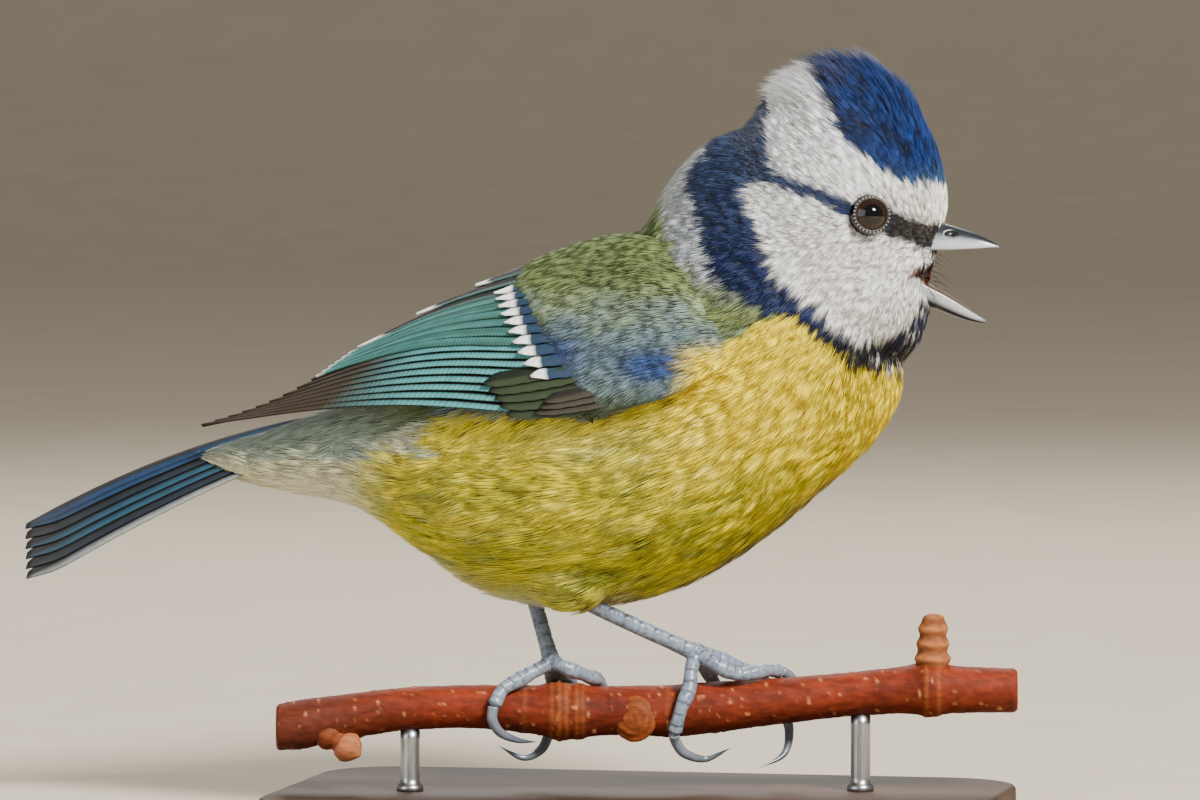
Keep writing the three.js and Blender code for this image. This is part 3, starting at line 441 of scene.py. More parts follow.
# The legs: bare shanks and toes in silvery blue-grey horn, with plates down the front of the
# shank and over each toe, and brown pads under the toes. Each is one bent bar that swells.
LEGS = {
    "right": {"side": -1, "ankle": (-5.6, -7.2, 25.3), "foot": (6.1, 0.2, 3.6), "rise": 0.9},
    "left": {"side": 1, "ankle": (-13.6, 7.4, 27.2), "foot": (-9.6, -0.1, 2.4), "rise": 2.4},
}
TOES = {
    "right": {
        "hind": (((5.6, 0.5, 2.6), (5.3, 0.9, 1.35), (4.5, 1.4, 1.05), (3.7, 2.15, 1.15)),
                 ((3.9, 2.45, 1.2), (4.9, 2.75, 2.1), (7.2, 2.98, 2.8), (9.9, 2.88, 2.0))),
        "middle": (((7.6, 0.0, 3.0), (10.4, -0.3, 1.7), (13.2, -0.85, 1.05), (14.9, -1.5, 0.95)),
                   ((15.6, -1.95, 1.0), (16.3, -2.45, 2.2), (15.7, -2.9, 3.7), (13.0, -3.18, 4.6))),
        "inner": (((6.6, -0.4, 2.9), (7.8, -0.8, 1.5), (8.8, -1.35, 1.0), (9.4, -1.75, 0.95)),
                  ((9.6, -2.0, 0.9), (9.3, -2.2, 1.0), (8.3, -2.42, 0.95), (7.0, -2.55, 0.5))),
        "outer": (((7.8, 0.45, 2.9), (10.6, 0.5, 1.35), (13.4, 0.15, 1.0), (15.4, -0.45, 0.95)),
                  ((16.4, -0.85, 0.95), (17.2, -1.3, 1.1), (17.4, -1.8, 1.2), (17.0, -2.25, 0.9))),
    },
    "left": {
        "hind": (((-10.8, 0.1, 1.9), (-12.9, 0.4, 1.2), (-14.8, 0.85, 1.0), (-15.9, 1.45, 0.95)),
                 ((-16.0, 1.9, 0.95), (-15.1, 2.35, 1.1), (-13.2, 2.7, 1.1), (-11.2, 3.0, 0.8))),
        "middle": (((-9.6, -0.5, 1.9), (-9.5, -0.95, 1.1), (-9.5, -1.45, 0.95), (-9.7, -1.95, 0.95)),
                   ((-9.9, -2.3, 1.1), (-10.8, -2.75, 2.1), (-12.8, -3.08, 2.8), (-15.4, -3.05, 1.8))),
        "inner": (((-8.8, -0.3, 2.0), (-7.6, -0.85, 1.15), (-6.9, -1.4, 0.95), (-6.8, -1.9, 0.95)),
                  ((-7.0, -2.1, 0.9), (-7.2, -2.25, 1.0), (-7.9, -2.42, 0.95), (-8.7, -2.5, 0.5))),
        "outer": (((-8.3, 0.15, 2.0), (-6.0, -0.05, 1.15), (-4.6, -0.5, 0.95), (-4.1, -1.05, 0.95)),
                  ((-4.0, -1.35, 0.95), (-4.2, -1.8, 1.2), (-4.8, -2.2, 1.1), (-5.6, -2.45, 0.7))),
    },
}


def evenly(curve, count):
    dense = curve(np.linspace(0, 1, 400))
    run = np.concatenate([[0], np.cumsum(np.linalg.norm(np.diff(dense, axis=0), axis=1))])
    shares = np.interp(np.linspace(0, run[-1], count), run, np.linspace(0, 1, 400))
    return curve(shares)


def bent_bar(centres, outward, radius, around):
    """Rings round a path: outward(i) is the way its back faces, and radius(i, turn) its form."""
    rings = []
    ahead = np.gradient(centres, axis=0)
    for i, centre in enumerate(centres):
        way = ahead[i] / np.linalg.norm(ahead[i])
        back = outward(i) - way * (outward(i) @ way)
        back /= np.linalg.norm(back)
        side = np.cross(way, back)
        rings.append([centre + (back * math.cos(a) + side * math.sin(a)) * radius(i, a)
                      for a in circle(around)])
    return rings


def leg_horn():
    horn = Finish("leg_horn", roughness=0.36, Coat_Weight=0.2, Coat_Roughness=0.25)
    spots = horn.add("ShaderNodeTexVoronoi", {"Vector": horn.place(), "Scale": 1700.0}).outputs["Distance"]
    horn.colour(horn.dapple(0.8, spots, (0.1, (0.6, 0.62, 0.66)), (0.6, 1.25)))
    horn.bump(spots, 0.6, 0.00012)
    return horn.material


PLATE, SEAM, PAD = ink("#76818f"), ink("#171b21"), ink("#6b5a46")


def scaly(made, rings, plates, seam_at):
    shades = []
    for i in range(len(rings)):
        for a in circle(len(rings[0])):
            seam = seam_at(i) * (0.35 + 0.65 * max(0.0, math.cos(a)))
            under = max(0.0, -math.cos(a) - 0.35) / 0.65
            tone = mixed(mixed(PLATE, SEAM, 0.75 * seam), PAD, 0.75 * under * plates)
            shades.append(tone * (0.9 + 0.25 * ripple(rings[i][0], 1.2, 3)))
    shade_points(made, np.array(shades))


SHANK_STEPS, KNUCKLE_STEPS, TOE_STEPS = 110, 22, 72
SHANK_PLATES = 9
SEAMS_A_JOINT = 4


def shank_seam(i):
    return max(0.0, math.cos(i / SHANK_STEPS * SHANK_PLATES * 2 * math.pi)) ** 6


def shank_form(i, a):
    t = i / (SHANK_STEPS - 1)
    r = 0.78 + 0.16 * max(0.0, t - 0.82) / 0.18 + 0.05 * math.cos(2 * a)
    return r + (0.05 - 0.11 * shank_seam(i)) * max(0.0, math.cos(a)) + 0.03 * max(0.0, -math.cos(a)) ** 3


def knuckle_form(i, a):
    rounded = math.sqrt(max(0.02, 1 - ((i - 10.5) / 11) ** 2))
    return 1.14 * rounded * (1 + 0.06 * math.cos(5 * a + i))


horn_grey = leg_horn()
for name, leg in LEGS.items():
    ankle = np.array(leg["ankle"]) + (-1.6, 0, leg["rise"])
    foot = on_twig(*leg["foot"])
    bow = (ankle + foot) / 2 + (0, 0, -0.25)
    ts = np.linspace(0, 1, SHANK_STEPS)[:, None]
    path = ankle * (1 - ts) ** 2 + bow * 2 * ts * (1 - ts) + foot * ts**2
    front = np.cross(foot - ankle, (0, 1, 0))
    front = front * np.sign(front[0])
    rings = bent_bar(path, lambda i: front, shank_form, 26)
    shank = piece(f"shank_{name}_scales", *loft(rings))
    scaly(shank, rings, 0.2, shank_seam)
    fit(shank, horn_grey, "leg_scales", f"shank_{name}")

    joint = np.linspace(-1, 1, KNUCKLE_STEPS)[:, None] * np.array([0.95, 0, -0.35]) + foot
    rings = bent_bar(joint, lambda i: foot - twig_centre(leg["foot"][0]), knuckle_form, 24)
    knuckle = piece(f"knuckle_{name}", *loft(rings))
    scaly(knuckle, rings, 0.3, lambda i: max(0.0, math.cos(i * 1.1)) ** 4)
    fit(knuckle, horn_grey, "leg_scales", f"shank_{name}")

    for toe_name, (places, claw_places) in TOES[name].items():
        path = evenly(smooth_columns([foot] + [on_twig(*p) for p in places]), TOE_STEPS)
        joints = 3 if toe_name in ("middle", "outer") else 2
        seams = SEAMS_A_JOINT * joints

        def toe_form(i, a):
            t = i / (TOE_STEPS - 1)
            front, under = max(0.0, math.cos(a)), max(0.0, -math.cos(a))
            r = 0.8 * (1.06 - 0.12 * t)
            r += 0.1 * math.cos(2 * math.pi * joints * t) * (0.6 + 0.4 * under)
            r += (0.13 * (t * seams % 1) - 0.05) * front - 0.04 * under * (math.cos(t * 60) > 0.8)
            return r * math.sqrt(max(0.05, min(1.0, (TOE_STEPS - i - 0.5) / 3)))

        def toe_seam(i):
            return 1 - min(1.0, (i / (TOE_STEPS - 1) * seams) % 1 * 5) if i < TOE_STEPS - 2 else 0.0

        rings = bent_bar(path, lambda i: path[i] - twig_centre(path[i][0]), toe_form, 22)
        toe = piece(f"toe_{name}_{toe_name}_scales", *loft(rings))
        scaly(toe, rings, 1.0, toe_seam)
        fit(toe, horn_grey, "leg_scales", f"toe_{name}_{toe_name}")

# The claws: curved, pointed sheaths of grey horn, glossy, with a pale root. Each grows from
# the end of its toe.
CLAW_STEPS, CLAW_AROUND = 44, 16


def claw_horn():
    horn = Finish("claw_horn", roughness=0.22, Coat_Weight=0.4, Coat_Roughness=0.12)
    streak = horn.grain(horn.place((900, 900, 900)), 1.0, 3.0)
    horn.colour(horn.dapple(0.6, streak, (0.3, (0.6, 0.62, 0.66)), (0.7, 1.1)))
    horn.bump(streak, 0.1, 0.00005)
    return horn.material


def claw_form(i, a):
    return max(0.035, (0.6 + 0.06 * math.cos(a)) * (1 - (i / (CLAW_STEPS - 1)) ** 2.2))


claw_grey = claw_horn()
for name in LEGS:
    for toe_name, (places, claw_places) in TOES[name].items():
        knots = [on_twig(*places[-1])] + [on_twig(*p) for p in claw_places]
        path = evenly(smooth_columns(knots), CLAW_STEPS)
        rings = bent_bar(path, lambda i: path[i] - twig_centre(path[i][0]), claw_form, CLAW_AROUND)
        claw = piece(f"claw_{name}_{toe_name}_horn", *loft(rings))
        pale = (1 - np.repeat(np.linspace(0, 1, CLAW_STEPS), CLAW_AROUND)[:, None]) ** 0.7
        shade_points(claw, ink("#7b838d") * pale + ink("#23272d") * (1 - pale))
        fit(claw, claw_grey, "horn", f"claw_{name}_{toe_name}")

# The skin: one smooth body from the tail coverts to the crown, with the thighs' swellings and
# the open gape. It lies under the coat by the depth of the feathers and wears their colours.
BODY_SLICES = [
    (-50.4, 41.8, -49.8, 38.6, 2.6), (-45.6, 43.2, -45.6, 36.6, 5.0), (-38.8, 45.4, -38.8, 35.4, 7.7),
    (-31.0, 48.4, -30.8, 33.6, 10.7), (-23.8, 52.0, -23.8, 29.0, 13.6), (-17.4, 56.0, -15.5, 24.2, 15.8),
    (-10.8, 60.2, -5.2, 23.2, 16.8), (-4.5, 63.6, 4.6, 25.4, 17.3), (0.2, 66.8, 13.1, 30.2, 17.1),
    (2.5, 70.6, 21.1, 36.7, 16.2), (5.4, 74.6, 27.1, 42.4, 14.8), (9.6, 77.4, 29.8, 47.9, 12.8),
    (15.3, 77.4, 28.9, 53.0, 10.4),
]
HEAD_OUTLINE = [
    (14.2, 80.6), (17.6, 83.2), (20.5, 84.5), (23.3, 85.0), (26.0, 84.6), (28.5, 83.2), (30.8, 80.8),
    (32.5, 78.1), (33.9, 75.1), (34.8, 72.0), (35.1, 69.0), (34.6, 66.4), (34.0, 63.6), (33.4, 60.8),
    (33.3, 58.0), (32.6, 55.2), (31.2, 52.4), (27.6, 50.8), (22.6, 52.2), (16.6, 56.4), (12.0, 62.0),
    (9.4, 68.6), (10.4, 75.6),
]
HEAD_MIDDLE = np.array([20.6, 63.5])
HEAD_HALF_WIDTH = 12.5
BODY_DEPTH = 1.25
HEAD_DEPTH = 1.0
MOUTH = {"corner": (31.6, 61.3), "low": (37.0, 57.0), "high": (37.0, 64.2)}
body_slice = smooth_columns(BODY_SLICES)


def body_rings(depth, steps=80, around=72):
    rings = []
    for top_x, top_z, low_x, low_z, wide in body_slice(np.linspace(0, 1, steps)):
        top, low = np.array([top_x, 0, top_z]), np.array([low_x, 0, low_z])
        up = top - low
        tall = np.linalg.norm(up) / 2
        up /= 2 * tall
        tall = max(0.4, tall - depth)
        wide = max(0.6, wide - depth)
        rings.append([(top + low) / 2 + up * math.cos(a) * tall + np.array([0, math.sin(a) * wide, 0])
                      for a in circle(around)])
    return rings


def head_rings(depth, around=110, across=48):
    outline = evenly(smooth_columns(HEAD_OUTLINE + HEAD_OUTLINE[:1]), around + 1)[:around]
    rings = []
    for turn in np.linspace(-0.985, 0.985, across) * math.pi / 2:
        ring = []
        for x, z in outline:
            out = np.array([x, z]) - HEAD_MIDDLE
            reach = np.linalg.norm(out)
            rise = out[1] / reach
            taper = 1.14 + (0.84 - 1.14) * max(0, rise)
            at = HEAD_MIDDLE + out / reach * (reach - depth) * math.cos(turn) ** taper
            ring.append((at[0], math.sin(turn) * (HEAD_HALF_WIDTH - depth), at[1]))
        rings.append(ring)
    return rings


def ball_rings(centre, sizes, tip=0.0, lats=20, lons=28):
    """Rings of an egg round a centre, tipped about Y."""
    c, s = math.cos(tip), math.sin(tip)
    rings = []
    for lat in np.linspace(0.05, math.pi - 0.05, lats):
        ring = []
        for lon in circle(lons):
            x = sizes[0] * math.sin(lat) * math.cos(lon)
            y = sizes[1] * math.sin(lat) * math.sin(lon)
            z = sizes[2] * math.cos(lat)
            ring.append((centre[0] + x * c + z * s, centre[1] + y, centre[2] - x * s + z * c))
        rings.append(ring)
    return rings


def applied(made):
    """The object's modifiers go into its mesh, and are then taken away."""
    graph = bpy.context.evaluated_depsgraph_get()
    plain = bpy.data.meshes.new_from_object(made.evaluated_get(graph), depsgraph=graph)
    made.modifiers.clear()
    made.data = plain


SKIN_VOXEL = 0.5
GAPE_HALF = 4.5
shells = [body_rings(BODY_DEPTH), head_rings(HEAD_DEPTH)]
for leg in LEGS.values():
    x, y, z = leg["ankle"]
    shells.append(ball_rings((x - 0.6, y, z + 3.6), (4.9, 3.2, 4.7), tip=0.5))
    shells.append(ball_rings((x - 1.2, y, z + 1.0), (1.7, 1.5, 2.2), tip=0.9))
skin = piece("skin", *gathered([loft(rings) for rings in shells]))
remesh = skin.modifiers.new("one skin", "REMESH")
remesh.mode = "VOXEL"
remesh.voxel_size = SKIN_VOXEL * MM
soften = skin.modifiers.new("soften", "SMOOTH")
soften.factor = 0.5
soften.iterations = 6
applied(skin)
wedge = [[(x, y, z) for x, z in MOUTH.values()] for y in (-GAPE_HALF, GAPE_HALF)]
throat = ball_rings((31.2, 0, 61.4), (4.4, 2.1, 1.7), tip=0.25)
for rings in (wedge, throat):
    cutter = piece("gape_cutter", *loft(rings))
    cut = skin.modifiers.new("gape", "BOOLEAN")
    cut.operation = "DIFFERENCE"
    cut.solver = "EXACT"
    cut.object = cutter
    applied(skin)
    bpy.data.objects.remove(cutter)
skin.data.shade_smooth()

# The lie of the coat, down the body from the bill. A row is a place as x and z, the way the
# feathers point there as x and z, their length, the width of one strand, and how they stand out.
LIE = [
    (34.5, 68.5, -0.35, 0.94, 1.5, 0.117, 0.1), (33.4, 74, -0.5, 0.86, 2.6, 0.133, 0.14),
    (30.5, 79.5, -0.62, 0.78, 3.9, 0.13, 0.34), (25.5, 82.5, -0.76, 0.6, 4.4, 0.13, 0.58),
    (20, 82.5, -0.82, 0.5, 4.1, 0.13, 0.6), (27.5, 76, -0.74, 0.67, 3.2, 0.133, 0.12),
    (18, 77.5, -0.72, 0.66, 2.8, 0.14, 0.18), (31, 70, -0.66, 0.75, 1.7, 0.109, 0.08),
    (23, 73, -0.82, 0.56, 2.3, 0.125, 0.12), (12.5, 77, -0.93, 0.3, 2.9, 0.156, 0.2),
    (7.5, 73.5, -0.95, -0.05, 3, 0.164, 0.2), (11, 69, -1, -0.05, 2.6, 0.14, 0.12),
    (31.5, 66.8, -0.95, 0.15, 1.2, 0.101, 0.06), (22, 70.3, -0.93, 0.36, 1.9, 0.109, 0.08),
    (18, 67.5, -0.98, 0.05, 1.9, 0.109, 0.07), (25, 64, -0.9, -0.4, 1.8, 0.109, 0.06),
    (29.5, 62.5, -0.8, -0.6, 1.5, 0.101, 0.06), (20.5, 62, -0.82, -0.56, 2.1, 0.117, 0.07),
    (24.5, 58, -0.58, -0.8, 2.3, 0.117, 0.08), (29.5, 57.5, -0.32, -0.95, 2.2, 0.117, 0.12),
    (32.8, 57.5, -0.2, -0.98, 1.8, 0.109, 0.14), (14, 62, -0.88, -0.45, 2.6, 0.14, 0.1),
    (27.5, 52, -0.4, -0.92, 2.8, 0.144, 0.14), (31.5, 52.5, -0.25, -0.97, 2.6, 0.133, 0.18),
    (29.8, 47, -0.35, -0.93, 3.6, 0.176, 0.12), (22, 51, -0.66, -0.75, 3.4, 0.176, 0.08),
    (27, 41.5, -0.5, -0.86, 4, 0.192, 0.1), (15.5, 49, -0.86, -0.5, 3.8, 0.192, 0.07),
    (20, 41, -0.78, -0.62, 4.2, 0.2, 0.07), (21, 35.5, -0.76, -0.65, 4.2, 0.2, 0.1),
    (8, 41, -0.93, -0.36, 4.4, 0.2, 0.06), (9, 29, -0.9, -0.43, 4.4, 0.208, 0.1),
    (-4, 38, -0.97, -0.22, 4.6, 0.208, 0.06), (-4.5, 24, -0.99, -0.1, 4.4, 0.208, 0.12),
    (-15, 27, -0.97, -0.18, 4.4, 0.2, 0.16), (-17, 36, -0.96, -0.25, 4.6, 0.2, 0.07),
    (-24, 30, -0.97, 0.05, 4.4, 0.192, 0.16), (-27, 37, -0.98, -0.1, 4.4, 0.192, 0.08),
    (-33, 35.5, -0.99, 0.05, 4.6, 0.192, 0.1), (-42, 38.5, -0.99, 0.03, 5.4, 0.192, 0.06),
    (-26, 43, -0.99, 0.02, 4.2, 0.192, 0.06), (-36, 42.5, -0.99, -0.04, 4.8, 0.192, 0.05),
    (2, 67.5, -0.8, -0.6, 3.2, 0.16, 0.08), (-6, 61.5, -0.86, -0.51, 3.4, 0.168, 0.06),
    (-16, 56, -0.88, -0.47, 3.6, 0.176, 0.06), (-28, 49, -0.91, -0.41, 4, 0.184, 0.05),
    (-40, 44.5, -0.96, -0.25, 4.6, 0.192, 0.05), (4, 60, -0.82, -0.57, 3, 0.16, 0.06),
    (-8, 54, -0.93, -0.36, 3.2, 0.168, 0.05),
]


def lie_at(points):
    table = np.array(LIE)
    away = (points[:, None, 0] - table[None, :, 0]) ** 2 + (points[:, None, 2] - table[None, :, 1]) ** 2
    weight = 1 / (away + 0.6) ** 2
    weight /= weight.sum(axis=1, keepdims=True)
    return weight @ table[:, 2:]


def sway(points, size, seed, stretch=(1, 1, 1)):
    drawn = points / (size * np.array(stretch))
    return np.array([noise.noise(Vector(p) + Vector((seed, -seed, seed * 0.5))) for p in drawn.tolist()])


# The markings. Each patch is an outline on the bird's side, as x and z.
CAP = [
    (37, 69.4), (34.7, 70.0), (34.2, 71.0), (32.7, 71.2), (30.7, 71.4), (28.9, 72.6), (27.0, 74.3),
    (25.3, 75.6), (24.4, 76.9), (23.2, 78.9), (21.9, 80.9), (21.1, 82.6), (20.5, 84.0), (20.0, 89.0),
    (40, 89), (40, 69),
]
BROW = [
    (17.9, 90), (17.6, 83.7), (16.5, 81.8), (15.7, 80.5), (15.7, 78.7), (15.8, 76.6), (16.3, 74.1),
    (17.4, 72.4), (20.1, 71.7), (22.7, 70.9), (24.8, 69.9), (26.4, 69.6), (28.0, 69.3), (30.0, 68.3),
    (31.7, 67.5), (33.3, 66.7), (34.4, 66.5), (38, 66.5), (40, 90),
]
CHEEK = [
    (15.3, 71.8), (13.9, 71.4), (13.6, 70.1), (14.3, 68.1), (15.6, 65.9), (16.6, 63.9), (17.4, 61.9),
    (18.5, 60.3), (20.0, 59.2), (21.5, 57.6), (23.3, 56.1), (24.7, 54.9), (25.9, 53.9), (27.3, 54.6),
    (29.0, 54.7), (30.3, 55.4), (31.4, 56.2), (32.3, 57.6), (32.6, 59.5), (33.4, 61.2), (33.6, 62.6),
    (33.0, 63.6), (32.1, 64.3), (30.7, 65.1), (29.5, 65.7), (27.6, 66.2), (26.0, 67.2), (25.2, 67.9),
    (23.3, 69.1), (21.3, 70.0), (19.2, 70.4), (17.0, 71.0),
]
HOOD = [
    (9.4, 90), (9.2, 77.1), (8.5, 75.0), (7.5, 73.0), (7.4, 70.5), (8.4, 68.1), (9.6, 64.6),
    (10.8, 62.1), (12.7, 59.7), (15.2, 58.0), (16.9, 57.2), (19.0, 57.0), (21.0, 55.7), (22.8, 54.1),
    (24.7, 52.9), (25.3, 51.6), (27.8, 51.0), (29.4, 49.9), (33, 49.4), (45, 49), (45, 90),
]
NAPE = [
    (9.4, 90), (4.4, 76), (3.6, 72.5), (4.0, 70.0), (4.3, 67.9), (5.5, 65.2), (6.8, 62.9), (8.6, 60.4),
    (11.2, 58.3), (14.0, 57.2), (17, 57), (20, 70), (20, 90),
]
YELLOW = [
    (19.0, 57.0), (16.4, 56.4), (13.8, 54.6), (11.7, 53.4), (9.2, 51.4), (6.0, 50.0), (4.4, 48.9),
    (2.7, 46.9), (0.2, 46.3), (-5.5, 46.3), (-12.4, 46.0), (-19.5, 45.6), (-24.4, 44.1), (-30, 42.6),
    (-36, 41.8), (-45, 40.9), (-60, 40), (-60, 0), (60, 0), (60, 49), (33, 49.4), (29.4, 49.9),
    (25.3, 51.6),
]
HUES = {
    "cap": ink("#123676"), "cap_deep": ink("#050f30"), "cap_edge": ink("#6f9aa8"),
    "white": ink("#ffffff"), "cream": ink("#efeade"), "navy": ink("#0c2253"),
    "navy_grey": ink("#33466a"), "black": ink("#14161c"), "lores": ink("#2a2320"),
    "nape": ink("#bcc4ca"), "moss": ink("#6f7f4a"), "moss_pale": ink("#9aa86c"),
    "moss_dark": ink("#4b5735"), "breast": ink("#ffe300"), "belly": ink("#ecdd14"),
    "olive": ink("#808a1a"), "pale_yellow": ink("#f2f08c"), "cream_vent": ink("#eeeac0"),
    "dusk": ink("#6d5b40"), "rump_grey": ink("#9fae9f"), "mouth": ink("#2c0c08"),
    "mouth_corner": ink("#8a4a34"), "slate": ink("#70868a"), "blue_covert": ink("#2c4a84"),
}


def inside(patch, x, z):
    corners = np.array(patch)
    hit = np.zeros(len(x), bool)
    for (x1, z1), (x2, z2) in zip(corners, np.roll(corners, -1, axis=0)):
        crosses = (z1 > z) != (z2 > z)
        with np.errstate(divide="ignore", invalid="ignore"):
            edge = (x2 - x1) * (z - z1) / (z2 - z1) + x1
        hit ^= crosses & (x < edge)
    return hit


def blended(a, b, share):
    share = np.clip(share, 0, 1)[:, None]
    return a * (1 - share) + b * share


def in_gape(points):
    x, y, z = points[:, 0], np.abs(points[:, 1]), points[:, 2]
    return (x > 30.7) & (y < 5.0) & (z < 61.4 + (x - 30.7) * 0.62) & (z > 61.2 - (x - 30.7) * 0.95)


def painted(tone, mask, colour):
    return np.where(mask[:, None], colour, tone)


def back_tone(points, x, z, broad):
    """The green of the mantle, slate low on the side and grey on the rump."""
    tone = blended(HUES["moss"], HUES["moss_pale"], 0.4 + 0.6 * broad + 0.5 * (z - 60) / 12)
    tone = blended(tone, HUES["moss_dark"], -1.3 * sway(points, 1.6, 31.0, (3, 1, 1)))
    tone = blended(tone, HUES["slate"], (56.5 - z) / 4 * (x > -20))
    return blended(tone, HUES["rump_grey"], (-22 - x) / 8)


def yellow_tone(points, x, y, z, broad):
    """The yellow of the underparts, brightest on the breast, with the dark line down the middle, deeper olive
    towards the underside as painted shade and a painted pool of sunlight on the flank.
    """
    bright = np.exp(-(((x - 20) / 13) ** 2 + ((z - 50) / 9) ** 2))
    yellow = blended(HUES["belly"], HUES["breast"], 1.5 * bright + 0.3)
    streak = sway(points, 1.1, 44.0, (5, 1, 1))
    dull = (0.3 * broad + 0.6 * streak + 0.32) * (1 - 0.8 * bright)
    # Olive streaks, and more olive towards the underside as painted shade.
    yellow = blended(yellow, HUES["olive"], dull + 0.3 * (36 - z) / 12)
    # A painted pool of sunlight on the flank.
    sunlit = 0.3 * np.exp(-(((x + 1) / 9) ** 2 + ((z - 43) / 3.2) ** 2))
    pale = (0.5 * sway(points, 1.0, 81.0, (4, 1, 1)) + sunlit) * (1 - 0.7 * bright)
    yellow = blended(yellow, HUES["pale_yellow"], pale)
    ahead = np.clip((x - 2) / 6, 0, 1) * np.clip((25 - x) / 3, 0, 1)
    yellow = blended(yellow, HUES["dusk"], 0.75 * np.exp(-((y / 2.4) ** 2)) * ahead * (z < 40))
    behind = np.clip((2 - x) / 5, 0, 1) * (z < 30)
    yellow = blended(yellow, HUES["cream"], 0.75 * np.exp(-((y / 5.0) ** 2)) * behind)
    return blended(yellow, HUES["cream_vent"], (-26 - x) / 5)


def collar_tone(points, x, z):
    """Navy round the head, black at the throat and through the eye, with a few pale flecks."""
    collar = blended(HUES["navy"], HUES["navy_grey"], (z - 66) / 9 + 0.8 * sway(points, 0.8, 22.0))
    collar = blended(collar, HUES["black"], np.clip((57 - z) / 4, 0, 1) * np.clip((x - 17) / 6, 0, 1))
    collar = blended(collar, HUES["lores"], (x - 28.5) / 1.5 * (z > 60))
    return painted(collar, (z < 60) & (x > 27) & (sway(points, 0.5, 61.0) > 0.26), HUES["cream"])


def markings(points):
    ragged = sway(points, 0.9, 5.0)
    broad = sway(points, 5.5, 9.0)
    x, y = points[:, 0] + ragged * 0.45, np.abs(points[:, 1])
    z = points[:, 2] + sway(points, 1.1, 14.0) * 0.45
    under = inside(YELLOW, x, z) | ((x > 17) & (z < 57))
    tone = painted(back_tone(points, x, z, broad), under, yellow_tone(points, x, y, z, broad))
    side_grey = under & (x < -21) & (z > 42.6 + 0.05 * x + 1.2 * broad)
    tone = painted(tone, side_grey, blended(HUES["rump_grey"], HUES["cream_vent"], 0.3 + broad))
    pale = blended(HUES["nape"], HUES["white"], 0.1 + 0.8 * ragged)
    tone = painted(tone, inside(NAPE, x, z), blended(pale, tone, (61.8 - z) / 3.2 + ragged))
    hood = inside(HOOD, x, z)
    tone = painted(tone, hood, collar_tone(points, x, z))
    white = blended(HUES["white"], HUES["cream"], 0.25 + 0.5 * ragged + (x - 29) / 8)
    tone = painted(tone, inside(BROW, x, z) & hood, white)
    cheek = inside(CHEEK, x, z) & ~((y < 3.4) & (z < 58.5))
    tone = painted(tone, cheek, blended(HUES["white"], HUES["cream"], 0.15 + 0.4 * ragged))
    blue = blended(HUES["cap"], HUES["cap_deep"], 0.3 + 1.7 * sway(points, 0.8, 71.0, (1, 1, 3)))
    blue = blended(blue, HUES["cap_edge"], 0.35 * np.clip((73.5 - z) / 4, 0, 1))
    tone = painted(tone, inside(CAP, x, z), blue)
    flesh_tone = blended(HUES["mouth_corner"], HUES["mouth"], points[:, 0] - 30.9)
    return np.clip(painted(tone, in_gape(points), flesh_tone), 0, 1)


def vectors_of(elements, field):
    flat = np.empty(len(elements) * 3, np.float32)
    elements.foreach_get(field, flat)
    return flat.reshape(-1, 3).astype(float)


def keep(made, name, values):
    """A named value for every point: a number or a vector each."""
    values = np.asarray(values, np.float32)
    kind, field = ("FLOAT_VECTOR", "vector") if values.ndim == 2 else ("FLOAT", "value")
    made.data.attributes.new(name, kind, "POINT").data.foreach_set(field, values.ravel())


def unwrapped(made):
    bpy.ops.object.select_all(action="DESELECT")
    bpy.context.view_layer.objects.active = made
    made.select_set(True)
    bpy.ops.object.mode_set(mode="EDIT")
    bpy.ops.mesh.select_all(action="SELECT")
    bpy.ops.uv.smart_project(angle_limit=1.15, island_margin=0.004)
    bpy.ops.object.mode_set(mode="OBJECT")
    made.select_set(False)
    made.data.uv_layers[0].name = "unwrap"


def lay_coat_data(made, cover, lie, shade_of):
    """Everything the feathering reads from the surface under it."""
    unwrapped(made)
    points = vectors_of(made.data.vertices, "co") / MM
    normals = vectors_of(made.data.vertex_normals, "vector")
    row = lie(points)
    flow = np.stack([row[:, 0], np.zeros(len(row)), row[:, 1]], axis=1)
    flow -= normals * (flow * normals).sum(axis=1, keepdims=True)
    flow /= np.linalg.norm(flow, axis=1, keepdims=True) + 1e-9
    side = np.cross(normals, flow)
    flow += side * (0.4 * sway(points, 5.0, 3.0) + 0.14 * sway(points, 1.5, 8.0))[:, None]
    flow /= np.linalg.norm(flow, axis=1, keepdims=True) + 1e-9
    long, wide, lift = row[:, 2], row[:, 3], row[:, 4]
    dense = cover / (long * wide * TUFT_SPREAD)
    for name, values in (("flow", flow), ("up", normals), ("long", long * MM), ("wide", wide * MM),
                         ("lift", lift), ("dense", dense)):
        keep(made, name, values)
    shade_points(made, shade_of(points + flow * long[:, None] * 0.45))


TUFT_SPREAD = 2.4
lay_coat_data(skin, 4.6, lie_at, markings)


